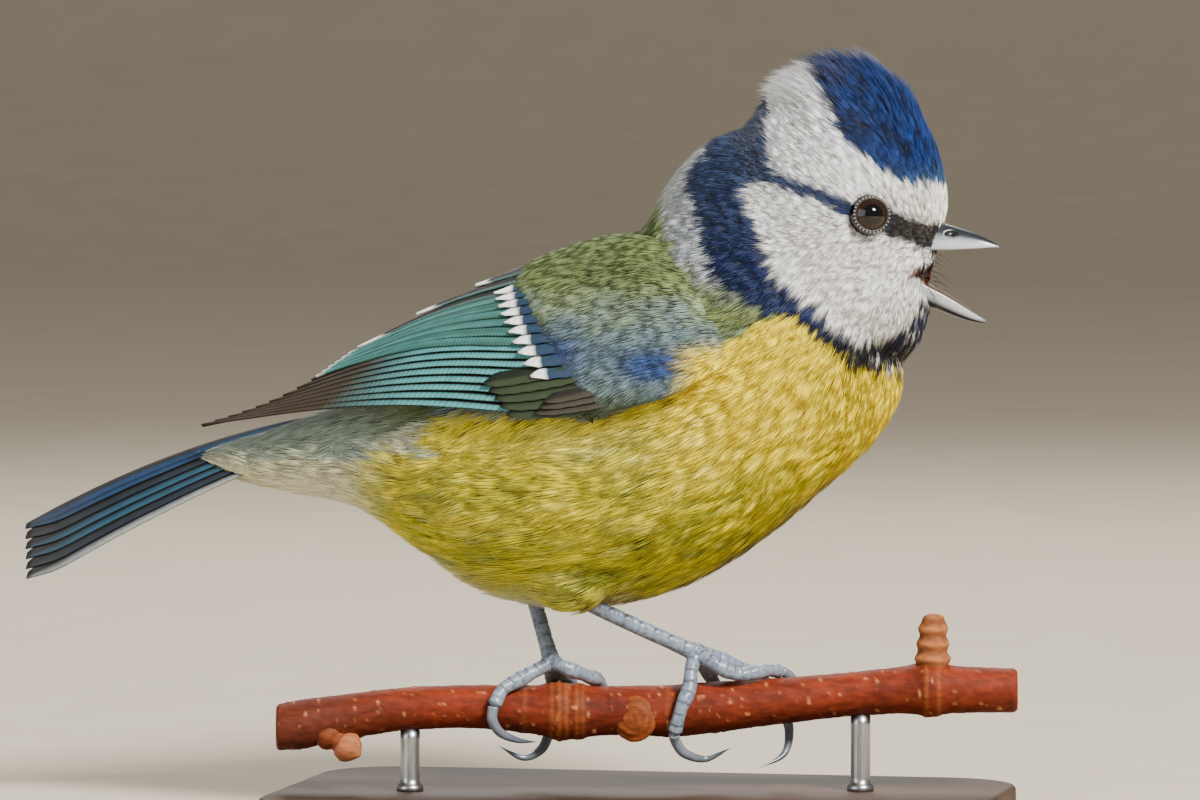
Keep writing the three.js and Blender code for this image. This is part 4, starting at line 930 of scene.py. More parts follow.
def plumage(name, roughness, sheen):
    coat = Finish(name, roughness=roughness, Sheen_Weight=sheen, Sheen_Roughness=0.4, Specular_IOR_Level=0.22)
    reach = coat.attribute("reach").outputs["Fac"]
    tint = coat.attribute("tint").outputs["Fac"]
    strand = coat.attribute("strand").outputs["Fac"]
    # Each strand is painted darker towards its root, as painted shade where the tufts lie over one another,
    # and lighter at its tip.
    tone = coat.dapple(1.0, reach, (0.0, 0.34), (0.45, 0.86), (1.0, (1.2, 1.2, 1.18)))
    tone = coat.mix(1.0, tone, coat.ramp(tint, (0.0, 0.86), (1.0, 1.08)), "MULTIPLY")
    own = coat.add("ShaderNodeMath", {0: tint, 1: 40.0, 2: strand}, operation="MULTIPLY_ADD").outputs[0]
    draw = coat.add("ShaderNodeTexWhiteNoise", {"W": own}, noise_dimensions="1D").outputs["Value"]
    strand_tone = coat.ramp(draw, (0.0, 0.66), (0.5, 1.0), (1.0, 1.3))
    coat.colour(coat.mix(1.0, tone, strand_tone, "MULTIPLY"))
    coat.bump(coat.grain(coat.place(), 6000.0, 2.0), 0.2, 0.00004)
    return coat.material


def under_skin():
    under = Finish("down", roughness=0.85)
    fine = under.grain(under.place(), 2200.0, 3.0)
    under.colour(under.dapple(1.0, fine, (0.3, 0.25), (0.7, 0.6)))
    under.bump(fine, 0.5, 0.0003)
    return under.material


# The feathering: each tuft is four tapered strands, ridged along the top, from one root. Tufts
# stand on points spread over the skin, lie along its flow and bend to its curve.
STRANDS = [
    (-1.35, -0.45, 0.86, -0.5), (-0.45, -0.1, 1.0, 0.25), (0.45, 0.15, 0.9, -0.2), (1.3, 0.55, 0.78, 0.45),
]
SMALLEST, LARGEST = 0.78, 1.18
TUFT_TURN = 0.11
HUG = 0.92
SPENT = (
    "root", "flow", "up", "long", "wide", "lift", "turn", "size", "dense", "zone", "across", "high",
    "unwrap",
)


def tuft_mesh():
    rows, faces = [], []
    for offset, lean, length, curl in STRANDS:
        a, b, c, d, e, f, g = range(len(rows), len(rows) + 7)
        for t, half, rise in ((0.0, 0.42, 0.0), (0.5, 0.52, 0.12)):
            middle = offset + lean * t + curl * math.sin(t * 2.6) * 0.5
            for across, high in ((middle - half, rise), (middle, rise + 0.42), (middle + half, rise)):
                rows.append((t * length, across, high))
        rows.append((length, offset * 1.1 + lean + curl * 0.26, 0.3))
        faces += [(a, c, b), (a, b, e), (a, e, d), (b, c, f), (b, f, e)]
        faces += [(c, a, d), (c, d, f), (d, e, g), (e, f, g), (f, d, g)]
    made = piece("tuft", np.array(rows) / MM, faces)
    for name, values in zip(("reach", "across", "high"), np.array(rows).T):
        keep(made, name, values)
    keep(made, "strand", np.repeat(np.arange(len(STRANDS)), 7))
    made.hide_render = True
    return made


def feathering():
    tree = bpy.data.node_groups.new("feathering", "GeometryNodeTree")
    for name, kind in (("Skin", "Geometry"), ("Tuft", "Object"), ("Material", "Material"),
                       ("Spacing", "Float"), ("Most", "Float"), ("Zone", "Int"), ("Seed", "Int")):
        tree.interface.new_socket(name, in_out="INPUT", socket_type=f"NodeSocket{kind}")
    tree.interface.new_socket("Coat", in_out="OUTPUT", socket_type="NodeSocketGeometry")

    def add(kind, inputs=(), **settings):
        made = tree.nodes.new(kind)
        for key, value in settings.items():
            setattr(made, key, value)
        for key, value in dict(inputs).items():
            named_so = [s for s in made.inputs if s.name == key and s.enabled]
            socket = made.inputs[key] if isinstance(key, int) else named_so[0]
            if isinstance(value, bpy.types.NodeSocket):
                tree.links.new(value, socket)
            else:
                socket.default_value = value
        return made

    def out(made, name=None):
        return next(s for s in made.outputs if s.enabled and (name is None or s.name == name))

    def named(name, kind):
        return out(add("GeometryNodeInputNamedAttribute", {"Name": name}, data_type=kind), "Attribute")

    def number(name):
        return named(name, "FLOAT")

    def vector(operation, *values):
        return out(add("ShaderNodeVectorMath", dict(enumerate(values)), operation=operation))

    def scaled(value, by):
        return out(add("ShaderNodeVectorMath", {0: value, "Scale": by}, operation="SCALE"))

    def maths(operation, *values):
        return out(add("ShaderNodeMath", dict(enumerate(values)), operation=operation))

    def times(a, b):
        return maths("MULTIPLY", a, b)

    def store(geometry, name, value, kind, domain="POINT"):
        given = {"Geometry": geometry, "Name": name, "Value": value}
        return out(add("GeometryNodeStoreNamedAttribute", given, data_type=kind, domain=domain))

    inward = {s.name: s for s in add("NodeGroupInput").outputs}
    matching = {2: named("zone", "INT"), 3: inward["Zone"]}
    chosen = out(add("FunctionNodeCompare", matching, data_type="INT", operation="EQUAL"))
    spread = {
        "Mesh": inward["Skin"], "Selection": chosen, "Distance Min": inward["Spacing"],
        "Density Max": times(inward["Most"], 1e6), "Seed": inward["Seed"],
        "Density Factor": maths("DIVIDE", number("dense"), inward["Most"]),
    }
    roots = add("GeometryNodeDistributePointsOnFaces", spread, distribute_method="POISSON")
    points = store(out(roots, "Points"), "root", out(add("GeometryNodeInputPosition")), "FLOAT_VECTOR")
    draws = (("turn", -1.0, 1.0, 1), ("tint", 0.0, 1.0, 2), ("size", SMALLEST, LARGEST, 3))
    for name, low, high, seed in draws:
        given = {"Min": low, "Max": high, "Seed": maths("ADD", inward["Seed"], seed)}
        draw = add("FunctionNodeRandomValue", given, data_type="FLOAT")
        points = store(points, name, out(draw, "Value"), "FLOAT")
    tuft_given = out(add("GeometryNodeObjectInfo", {"Object": inward["Tuft"]}), "Geometry")
    instances = out(add("GeometryNodeInstanceOnPoints", {"Points": points, "Instance": tuft_given}))
    tufts = out(add("GeometryNodeRealizeInstances", {"Geometry": instances}))

    flow, up, root = (named(name, "FLOAT_VECTOR") for name in ("flow", "up", "root"))
    side = vector("CROSS_PRODUCT", up, flow)
    way = vector("NORMALIZE", vector("ADD", flow, scaled(side, times(number("turn"), TUFT_TURN))))
    reach, wide = number("reach"), number("wide")
    long = times(number("long"), number("size"))
    beside = scaled(side, times(wide, number("across")))
    flat = vector("ADD", root, vector("ADD", scaled(way, times(long, reach)), beside))
    nearest = {0: inward["Skin"], "Sample Position": flat}
    near = out(add("GeometryNodeProximity", nearest, target_element="FACES"), "Position")
    facing = {"Mesh": inward["Skin"], "Value": up, "Sample Position": flat}
    outward = out(add("GeometryNodeSampleNearestSurface", facing, data_type="FLOAT_VECTOR"), "Value")
    standing = times(times(long, number("lift")), maths("POWER", reach, 1.5))
    raised = times(maths("SUBTRACT", number("size"), SMALLEST), 0.0004)
    height = maths("ADD", maths("ADD", times(wide, number("high")), standing), raised)
    wrapped = vector("ADD", near, scaled(outward, height))
    free = vector("ADD", flat, scaled(up, height))
    place = out(add("ShaderNodeMix", {0: HUG, 4: free, 5: wrapped}, data_type="VECTOR"), "Result")
    tufts = out(add("GeometryNodeSetPosition", {"Geometry": tufts, "Position": place}))
    patch = {"X": times(maths("SUBTRACT", reach, 0.5), 0.003), "Y": times(number("across"), 0.0008)}
    unwrap = vector("ADD", named("unwrap", "FLOAT_VECTOR"), out(add("ShaderNodeCombineXYZ", patch)))
    tufts = store(tufts, "OFBake", unwrap, "FLOAT2", "CORNER")
    tufts = out(add("GeometryNodeRealizeInstances", {"Geometry": tufts}))
    tufts = out(add("GeometryNodeSetMaterial", {"Geometry": tufts, "Material": inward["Material"]}))
    add("NodeGroupOutput", {"Coat": tufts})
    return tree


tuft = tuft_mesh()
coat_tree = feathering()


def grow_coat(name, host, material, slot, zone, seed, *nodes, most=9.0, spacing=0.12):
    maker = bpy.data.objects.new(name, host.data)
    bpy.context.collection.objects.link(maker)
    growth = maker.modifiers.new("feathering", "NODES")
    growth.node_group = coat_tree
    sockets = {s.name: s.identifier for s in coat_tree.interface.items_tree if s.in_out == "INPUT"}
    for key, value in (("Tuft", tuft), ("Material", material), ("Spacing", spacing * MM), ("Most", most),
                       ("Zone", zone), ("Seed", seed)):
        growth[sockets[key]] = value
    applied(maker)
    for spent in SPENT:
        if spent in maker.data.attributes:
            maker.data.attributes.remove(maker.data.attributes[spent])
    fit(maker, None, slot, *nodes)


# The zones of the coat, one piece of feathering each. The rims of the eyes and the gape stay
# bare.
BARE, CROWN, COLLAR, CHEEKS, MANTLE, BELLY_RIGHT, VENT_RIGHT, BREAST, VENT_LEFT, BELLY_LEFT = range(10)
BARE_EYE = {"at": (27.9, 10.8, 67.9), "radius": 2.15}
COAT_SEED = 10


def zones_of(points):
    x, y, z = points.T
    zone = np.full(len(points), VENT_RIGHT)
    zone[x > -16] = BELLY_RIGHT
    zone[(x > -16) & (y > 0)] = BELLY_LEFT
    zone[(z > 54 - 0.1 * x) & (x < 12)] = MANTLE
    zone[(z > 47 - 0.1 * x) & (x < -14)] = MANTLE
    hood = inside(HOOD, x, z) | inside(NAPE, x, z)
    zone[hood] = COLLAR
    zone[inside(BROW, x, z) & hood] = CROWN
    zone[inside(CHEEK, x, z)] = CHEEKS
    zone[(x > 14) & ((zone == BELLY_RIGHT) | (zone == BELLY_LEFT))] = BREAST
    zone[(x < -16) & (zone == VENT_RIGHT) & (y > 0)] = VENT_LEFT
    zone[in_gape(points)] = BARE
    for side in (1, -1):
        away = np.linalg.norm(points - np.array(BARE_EYE["at"]) * (1, side, 1), axis=1)
        zone[away < BARE_EYE["radius"]] = BARE
    return zone


def keep_zones(made, zones):
    made.data.attributes.new("zone", "INT", "FACE").data.foreach_set("value", zones.astype(np.int32))


keep_zones(skin, zones_of(vectors_of(skin.data.polygons, "center") / MM))
soft = plumage("soft_plumage", 0.66, 0.1)
satin = plumage("satin_plumage", 0.55, 0.06)
for name, zone, material, slot, *nodes in (
    ("brow_and_cap", CROWN, satin, "plumage_head", "head"),
    ("collar", COLLAR, soft, "plumage_head", "head", "neck"),
    ("cheeks", CHEEKS, soft, "plumage_head", "head"),
    ("mantle", MANTLE, soft, "plumage_body", "torso", "neck"),
    ("belly_right", BELLY_RIGHT, soft, "plumage_body", "torso", "thigh_right"),
    ("belly_left", BELLY_LEFT, soft, "plumage_body", "torso", "thigh_left"),
    ("breast", BREAST, satin, "plumage_body", "torso", "neck"),
    ("vent_right", VENT_RIGHT, soft, "plumage_body", "rump"),
    ("vent_left", VENT_LEFT, soft, "plumage_body", "rump"),
):
    grow_coat(f"coat_{name}", skin, material, slot, zone, COAT_SEED + zone, *nodes)
fit(skin, under_skin(), "plumage_body", "head", "neck", "torso", "rump", "thigh_left", "thigh_right")

# The eyes: dark brown irises round wide black pupils, under a clear, wet cornea. Each ball
# sits deep in its socket, behind a ring of pale beads on the rim of the lids.
EYE = {"centre": (27.48, 9.56, 68.0), "radius": 2.3, "opening": 1.55, "rim": 1.66, "beads": 30}
EYE_LOOK = np.array([0.36, 0.925, 0.09]) / np.linalg.norm([0.36, 0.925, 0.09])
RIM_STEPS, RIM_AROUND = 64, 10


def eye_frame(side):
    look = EYE_LOOK * (1, side, 1)
    centre = np.array(EYE["centre"]) * (1, side, 1)
    right = np.cross(UP, look)
    right /= np.linalg.norm(right)
    return centre, look, right, np.cross(look, right)


def eye_glass():
    wet = Finish("eye_glass", roughness=0.05, Coat_Weight=0.25, Coat_Roughness=0.02, Specular_IOR_Level=0.35)
    rays = wet.grain(wet.place(), 3000.0, 4.0)
    wet.colour(wet.dapple(0.7, rays, (0.3, 0.5), (0.7, (1.3, 1.25, 1.2))))
    return wet.material


def lid_skin():
    lid = Finish("lid_skin", roughness=0.45)
    fine = lid.grain(lid.place(), 5000.0, 3.0)
    lid.colour(lid.dapple(0.6, fine, (0.3, 0.7), (0.7, 1.1)))
    lid.bump(fine, 0.3, 0.00006)
    return lid.material


glass, lid_finish = eye_glass(), lid_skin()
for name, side in (("left", 1), ("right", -1)):
    centre, look, right, up = eye_frame(side)
    spokes = {a: right * math.cos(a) + up * math.sin(a) for a in circle(48)}
    rings, shades = [], []
    for turn in np.concatenate([np.linspace(0.03, 1.15, 40), np.linspace(1.2, 3.1, 14)]):
        off = EYE["radius"] * math.sin(turn)
        out = EYE["radius"] * math.cos(turn) + 0.16 * math.exp(-((off / 1.2) ** 4))
        iris = min(1.0, max(0.0, (off - 1.08) / 0.08)) * min(1.0, max(0.0, (1.8 - off) / 0.12))
        rings.append([centre + look * out + spoke_out * off for spoke_out in spokes.values()])
        for a in spokes:
            ray = 0.8 + 0.4 * math.sin(a * 23) * math.sin(a * 7)
            shades.append(ink("#050404") * (1 - iris) + ink("#28140a") * ray * iris)
    ball = piece(f"eyeball_{name}", *loft(rings))
    shade_points(ball, np.clip(shades, 0, 1))
    fit(ball, glass, "eye", f"eye_{name}")

    rim_points, rim_faces = [], []
    for k, a in enumerate(circle(RIM_STEPS)):
        out = right * math.cos(a) + up * math.sin(a)
        for b, c in enumerate(circle(RIM_AROUND)):
            r = EYE["rim"] + 0.14 + 0.16 * math.cos(c)
            rim_points.append(centre + out * r + look * (EYE["opening"] - 0.02 + 0.15 * math.sin(c)))
            here, ahead, beside = k * RIM_AROUND, (k + 1) % RIM_STEPS * RIM_AROUND, (b + 1) % RIM_AROUND
            rim_faces.append((here + b, here + beside, ahead + beside, ahead + b))
    shells = [(rim_points, rim_faces)]
    for a in circle(EYE["beads"]):
        out = right * math.cos(a) + up * math.sin(a)
        at = centre + out * (EYE["rim"] + 0.3) + look * (EYE["opening"] + 0.1)
        shells.append(loft(ball_rings(at, (0.11, 0.11, 0.11), lats=6, lons=8)))
    lid = piece(f"eye_rim_{name}", *gathered(shells))
    bead_count = len(lid.data.vertices) - len(rim_points)
    shade_points(lid, [ink("#1c1a1a")] * len(rim_points) + [ink("#8d8068")] * bead_count)
    fit(lid, lid_finish, "plumage_head", "head")

# The bill: two halves of horn, slate along the ridge and pale at the cutting edges, each with
# a trough inside. The upper one has a nostril on each side of its root.
UPPER_BILL = [
    (30.4, 67.9, 64.0, 2.2), (31.4, 67.7, 64.0, 2.15), (34.2, 66.9, 64.0, 1.9), (36.2, 66.3, 64.1, 1.45),
    (38.2, 65.6, 64.2, 0.95), (39.5, 64.95, 64.3, 0.5), (40.3, 64.5, 64.3, 0.12),
]
LOWER_BILL = [
    (29.6, 61.8, 59.2, 2.1), (30.6, 61.2, 58.6, 2.1), (32.6, 60.0, 57.7, 1.85), (34.6, 58.9, 56.9, 1.45),
    (36.4, 57.8, 56.3, 1.0), (37.8, 56.9, 56.0, 0.55), (38.8, 56.3, 55.95, 0.12),
]
NOSTRIL = {"x": 35.15, "z": 65.75, "long": 0.6, "tall": 0.3, "deep": 0.45}
BILL_DARK, BILL_PALE, BILL_TIP, BILL_INNER = ink("#1c2027"), ink("#aeb4b8"), ink("#3a3d42"), ink("#5a463e")


def bill_outline(half, edge, tall, t):
    """One section of a half: y, z and how near the ridge, with -1 in the trough."""
    outline = []
    for a in np.linspace(0, math.pi, 41):
        s = math.sin(a)
        outline.append((half * math.cos(a) * (1 - 0.12 * s), edge + tall * s**0.85, s))
    trough = 0.42 * tall * min(1, (1 - t) * 3)
    wall = max(0.05, max(0.0, half - 0.42) / half)
    for q in np.linspace(-1, 1, 9)[1:-1]:
        outline.append((half * q, edge + trough * max(0.0, 1 - (abs(q) / wall) ** 4), -1))
    return outline


def bill_half(name, rows, ridge_up, node):
    at = smooth_columns(rows)
    rings, shades = [], []
    for t in np.linspace(0, 1, 110):
        x, high, low, half = at(t)
        ridge, edge = (high, low) if ridge_up else (low, high)
        tip = 0.6 * np.clip((t - 0.86) / 0.14, 0, 1)
        ring = []
        for y, z, m in bill_outline(max(half, 0.06), edge, ridge - edge, t):
            off = math.hypot((x - NOSTRIL["x"]) / NOSTRIL["long"], (z - NOSTRIL["z"]) / NOSTRIL["tall"])
            pitted = ridge_up and off < 1.5 and m > 0
            dent = NOSTRIL["deep"] * max(0.0, 1 - (off / 1.3) ** 2) if pitted else 0.0
            ring.append((x, y - np.sign(y) * dent, z))
            tone = mixed(BILL_PALE, BILL_DARK, (m - 0.25) / 0.35 if ridge_up else (m - 0.4) / 0.3)
            tone = mixed(BILL_INNER if m < 0 else tone, BILL_TIP, tip)
            # The nostril pit is painted near black, as painted shade in its opening.
            shades.append(ink("#060607") if dent > 0.06 else tone)
        rings.append(ring)
    made = piece(name, *loft(rings))
    shade_points(made, np.array(shades))
    fit(made, bill_horn, "horn", node)


def horn_finish():
    horn = Finish("bill_horn", roughness=0.3, Coat_Weight=0.3, Coat_Roughness=0.2)
    streak = horn.grain(horn.place((500, 2600, 2600)), 1.0, 4.0)
    horn.colour(horn.dapple(0.7, streak, (0.3, (0.7, 0.71, 0.74)), (0.7, 1.1)))
    horn.bump(streak, 0.2, 0.00006)
    return horn.material


bill_horn = horn_finish()
bill_half("bill_upper_horn", UPPER_BILL, True, "bill_upper")
bill_half("bill_lower_horn", LOWER_BILL, False, "bill_lower")

# The mouth's lining: dark red flesh inside the gape, with a paler fold at each corner, so
# that the throat between the halves of the bill is closed.
MOUTH_HEIGHT = 61.3


def flesh():
    wet = Finish("mouth_flesh", roughness=0.3, Subsurface_Weight=0.2)
    fine = wet.grain(wet.place(), 1800.0, 3.0)
    wet.colour(wet.ramp(fine, (0.3, ink("#1c0805")), (0.75, ink("#56230f"))))
    wet.bump(fine, 0.3, 0.0001)
    return wet.material


def lining_ring(x, wide, tall):
    return [(x, wide * math.cos(a), MOUTH_HEIGHT + tall * math.sin(a)) for a in circle(40)]


lining_rings = []
for t in np.linspace(0, 1, 24):
    lining_rings.append(lining_ring(29.0 + 3.3 * t, 2.0 + 0.6 * math.sin(t * 2.2), 0.5 + 0.75 * t))
for t in np.linspace(1, 0, 24):
    lining_rings.append(lining_ring(29.4 + 2.9 * t, 1.7 + 0.6 * math.sin(t * 2.2), 0.2 + 0.85 * t))
lining = piece("mouth_lining", *loft(lining_rings))
fit(lining, flesh(), "plumage_head", "head")

# The bristles: a few stiff dark hairs that curve out round the corners of the gape. They
# droop towards their tips.
BRISTLES_A_SIDE = 16
hairs = []
draw = np.random.default_rng(7)
for side in (1, -1):
    for t in np.linspace(0, 1, BRISTLES_A_SIDE):
        y = side * (2.0 + 1.2 * math.sin(t * math.pi))
        start = np.array([33.4 - 1.2 * math.sin(t * 3.0), y, 67.0 - 8.2 * t])
        way = np.array([0.75, side * 0.45, 0.5 - 1.1 * t]) + draw.normal(0, 0.12, 3)
        way /= np.linalg.norm(way)
        long = draw.uniform(1.6, 2.8)
        droop = np.array([0.0, 0, -0.35 * long])
        path = np.array([start + way * long * s + droop * s * s for s in np.linspace(0, 1, 7)])
        hairs.append(loft(bent_bar(path, lambda i: UP + 0.01, lambda i, a: 0.045 * (1.05 - i / 6), 5)))
hair = Finish("bristle", roughness=0.5)
hair.colour(hair.ramp(hair.grain(hair.place(), 900.0), (0.3, ink("#141414")), (0.7, ink("#3c3834"))))
fit(piece("bristles", *gathered(hairs)), hair.material, "plumage_head", "head")

# The wings, folded. Each lies on a curved sheet from the shoulder to the wing tip, and its
# quills and coverts are thin vanes in tiers, each tier over the next.
WING_SHEET = [
    (9.5, 11.6, 62.4, 14.2, 14.2, 53.6, 1.6), (3.2, 8.4, 65.2, 8.4, 17.2, 49.0, 2.9),
    (-4.4, 5.0, 64.4, 0.4, 18.2, 46.6, 3.5), (-13.0, 3.0, 61.2, -8.6, 18.0, 45.4, 3.6),
    (-21.6, 2.5, 57.4, -18.2, 16.4, 45.2, 3.0), (-30.4, 2.4, 52.6, -27.8, 13.6, 44.9, 1.9),
    (-39.8, 2.5, 47.2, -38.6, 9.2, 44.2, 0.9), (-49.0, 2.7, 43.6, -48.8, 5.4, 43.1, 0.3),
]
wing_columns = smooth_columns(WING_SHEET)


def on_wing(along, across, high, side):
    at = wing_columns(along)
    upper, lower, bulge = at[:3], at[3:6], at[6]
    a, b = wing_columns(min(1, along + 0.01)), wing_columns(min(1, along + 0.01) - 0.02)
    out = np.cross(lower - upper, a[:3] - b[:3])
    out /= np.linalg.norm(out)
    p = upper + (lower - upper) * across + out * (bulge * 4 * across * (1 - across) + high)
    return p * (1, side, 1)


def wing_chord(along):
    at = wing_columns(along)
    return np.linalg.norm(at[3:6] - at[:3])


vane_form = smooth_columns([[f] for f in (0.42, 0.8, 0.97, 1.0, 1.0, 0.98, 0.93, 0.8, 0.2)])


def blade(place, rows, columns, thick, paint):
    """A vane: place(t, q) gives its upper face, from the outer edge at q 0 to the inner at 1."""
    ts = np.linspace(0, 1, rows)
    top = np.array([[place(t, q) for q in columns] for t in ts])
    ahead = np.gradient(top, axis=0)
    beside = np.gradient(top, axis=1)
    normal = np.cross(ahead, beside)
    normal /= np.linalg.norm(normal, axis=2, keepdims=True) + 1e-9
    under = top + normal * thick
    count = len(columns)
    points = np.concatenate([top.reshape(-1, 3), under.reshape(-1, 3)])
    low = rows * count
    faces = []
    for i in range(rows - 1):
        for j in range(count - 1):
            a = i * count + j
            faces.append((a, a + 1, a + count + 1, a + count))
            faces.append((low + a, low + a + count, low + a + count + 1, low + a + 1))
    rim = [i * count for i in range(rows)] + [(rows - 1) * count + j for j in range(1, count)]
    rim += [i * count + count - 1 for i in range(rows - 2, -1, -1)] + [j for j in range(count - 2, 0, -1)]
    for a, b in zip(rim, rim[1:] + rim[:1]):
        faces.append((b, a, low + a, low + b))
    colours = np.array([[paint(t, q) for q in columns] for t in ts]).reshape(-1, 3)
    uv = np.array([[(q, t) for q in columns] for t in ts]).reshape(-1, 2)
    # The under face carries the same colours darker, as painted shade.
    return points, faces, np.vstack([colours, colours * 0.6]), np.vstack([uv, uv])


def bundle(name, vanes):
    """One piece of many vanes, with their colours and their unwrapped barbs."""
    made = piece(name, *gathered([vane[:2] for vane in vanes]))
    shade_points(made, np.clip(np.vstack([vane[2] for vane in vanes]), 0, 1))
    layer = made.data.uv_layers.new(name="barbs")
    corner = np.empty(len(made.data.loops), np.int32)
    made.data.loops.foreach_get("vertex_index", corner)
    uv = np.vstack([vane[3] for vane in vanes])
    layer.data.foreach_set("uv", uv[corner].astype(np.float32).ravel())
    return made


COLUMNS = (0.0, 0.05, 0.1, 0.2, 0.28, 0.31, 0.34, 0.4, 0.6, 0.8, 1.0)
SHAFT_AT = 0.31
TIP_PULL = 0.25
QUILL_ROWS, QUILL_THICK, QUILL_CURVE = 26, 0.16, 1.4


def shaft_ridge(q):
    return math.exp(-(((q - SHAFT_AT) / 0.05) ** 2))


def quill(side, root, tip, wide, high, tilt, paint):
    edge_wave = (root[0] * 37 + tip[1] * 53) % 1 * 6

    def place(t, q):
        form = max(0.08, vane_form(t)[0])
        along = root[0] + (tip[0] - root[0]) * t
        width = wide / wing_chord(along)
        edge = root[1] + (tip[1] - root[1]) * t**QUILL_CURVE
        outer = edge - (1 - form) * TIP_PULL * width
        inner = outer - width * form
        camber = 0.12 * math.sin(min(1, q / 0.9) * math.pi)
        fray = 0.002 * math.sin(t * 40 + edge_wave) * (q < 0.02)
        raised = high - tilt * form * q**1.1 + 0.1 * shaft_ridge(q) + camber
        return on_wing(along, outer + (inner - outer) * q + fray, raised, side)

    return blade(place, QUILL_ROWS, COLUMNS, -QUILL_THICK * side, paint)


def vane_finish():
    vane = Finish("vane", roughness=0.55, Specular_IOR_Level=0.25)
    given = {"Vector": vane.place((6, 150, 1), uv="barbs"), "Scale": 0.32, "Distortion": 0.6, "Detail": 1.0}
    wave = vane.add("ShaderNodeTexWave", given, bands_direction="DIAGONAL").outputs["Fac"]
    lines = vane.dapple(1.0, wave, (0.1, 0.78), (0.7, 1.08))
    patchy = vane.ramp(vane.grain(vane.place(), 700.0, 3.0), (0.3, 0.85), (0.7, 1.12))
    vane.colour(vane.mix(1.0, lines, patchy, "MULTIPLY"))
    vane.bump(wave, 0.35, 0.00005)
    return vane.material


TEAL, AQUA, UMBER, BUFF = ink("#35645b"), ink("#4d8f90"), ink("#120e0b"), ink("#41372c")
INK, SNOW, LEAF, ASH = ink("#0a0a0c"), ink("#fbfaf5"), ink("#2f3a24"), ink("#3d392f")


def primary_paint(k):
    def paint(t, q):
        web = mixed(AQUA, BUFF, (t - 0.56) / 0.2 + 0.03 * k)
        tone = mixed(web, UMBER, (q - 0.26) / 0.05)
        tone = mixed(tone, INK, (0.035 - q) / 0.03 * 0.8)
        return mixed(tone, BUFF, (t - 0.965) / 0.03)
    return paint


def secondary_paint(k):
    def paint(t, q):
        web = mixed(TEAL, AQUA, 0.35 + 0.3 * math.sin(q * 14 + 2 * k))
        tone = mixed(web, LEAF, 0.5 * (1 - t))
        tone = mixed(tone, UMBER, (q - 0.6) / 0.15 if k > 0 else (q - 0.8) / 0.1)
        tone = mixed(tone, SNOW, (t - 0.96) / 0.03)
        return mixed(tone, INK, (0.02 - q) / 0.03 * 0.4)
    return paint


def tertial_paint(k):
    def paint(t, q):
        tone = mixed(ink("#3c5c58"), ink("#15100d"), (q - 0.06) / 0.12 + (0.3 if k == 0 else 0.0))
        return mixed(tone, SNOW, (t - 0.9 + 0.08 * abs(q - 0.4)) / 0.03 * (q < 0.75))
    return paint


def covert_paint(k):
    def paint(t, q):
        tone = mixed(ink("#22364e"), ink("#33495a"), q)
        tone = mixed(tone, ink("#2c3c50"), 0.5 * math.exp(-(((q - 0.31) / 0.1) ** 2)))
        return mixed(tone, SNOW, (t - 0.84) / 0.04)
    return paint


def primary_covert_paint(k):
    return lambda t, q: mixed(mixed(LEAF, ink("#1a2016"), (q - 0.25) / 0.2), INK, (t - 0.9) / 0.1 * 0.5)


def alula_paint(k):
    return lambda t, q: mixed(mixed(ASH, ink("#1e1c19"), (q - 0.2) / 0.3), INK, (0.06 - q) / 0.05)


# A tier is a count of quills, then the first and last root, tip, width and height, and the tilt.
WING_TIERS = {
    "primaries": (9, ((0.3, 0.66), (0.24, 1.0)), ((0.8, 0.32), (1.0, 0.75)), (2.7, 2.2), (0.5, 0.35),
                  0.85, primary_paint),
    "secondaries": (6, ((0.28, 0.36), (0.3, 0.68)), ((0.735, 0.2), (0.79, 0.34)), (3.6, 3.2), (0.85, 0.65),
                    0.85, secondary_paint),
    "tertials": (3, ((0.26, 0.16), (0.28, 0.3)), ((0.5, 0.1), (0.72, 0.16)), (4.2, 3.6), (1.15, 0.9),
                 0.6, tertial_paint),
    "primary_coverts": (5, ((0.3, 0.82), (0.3, 1.0)), ((0.485, 0.86), (0.46, 1.0)), (2.4, 2.0), (0.85, 0.6),
                        0.6, primary_covert_paint),
    "greater_coverts": (10, ((0.2, 0.3), (0.2, 0.84)), ((0.45, 0.28), (0.395, 0.84)), (2.8, 2.2),
                        (1.15, 1.05), 0.7, covert_paint),
    "alula": (3, ((0.22, 0.93), (0.22, 0.99)), ((0.385, 0.96), (0.41, 1.0)), (1.7, 1.5), (1.1, 0.85),
              0.5, alula_paint),
}
vane_material = vane_finish()


def between(pair, t):
    first, last = np.asarray(pair, float)
    return first + (last - first) * t


for name, side in (("left", 1), ("right", -1)):
    for tier_name, (count, *spans, tilt, paint) in WING_TIERS.items():
        vanes = []
        for k in range(count):
            root, tip, wide, high = (between(span, k / (count - 1)) for span in spans)
            vanes.append(quill(side, root, tip, wide, high, tilt, paint(k)))
        fit(bundle(f"{tier_name}_{name}", vanes), vane_material, "flight_feathers", f"wing_{name}")

# The arm of each wing: the small coverts and shoulder feathers that hide the roots of the
# quills, over a rounded pad, blue-grey with cobalt patches and a mossy upper edge.
ARM_LIE = (-0.93, -0.36, 2.6, 0.2, 0.05)
ARM_STEPS = 34
ARM_END_AT = (0.0, 0.26, 0.34, 0.8, 1.0)
ARM_END = (0.47, 0.46, 0.43, 0.365, 0.33)


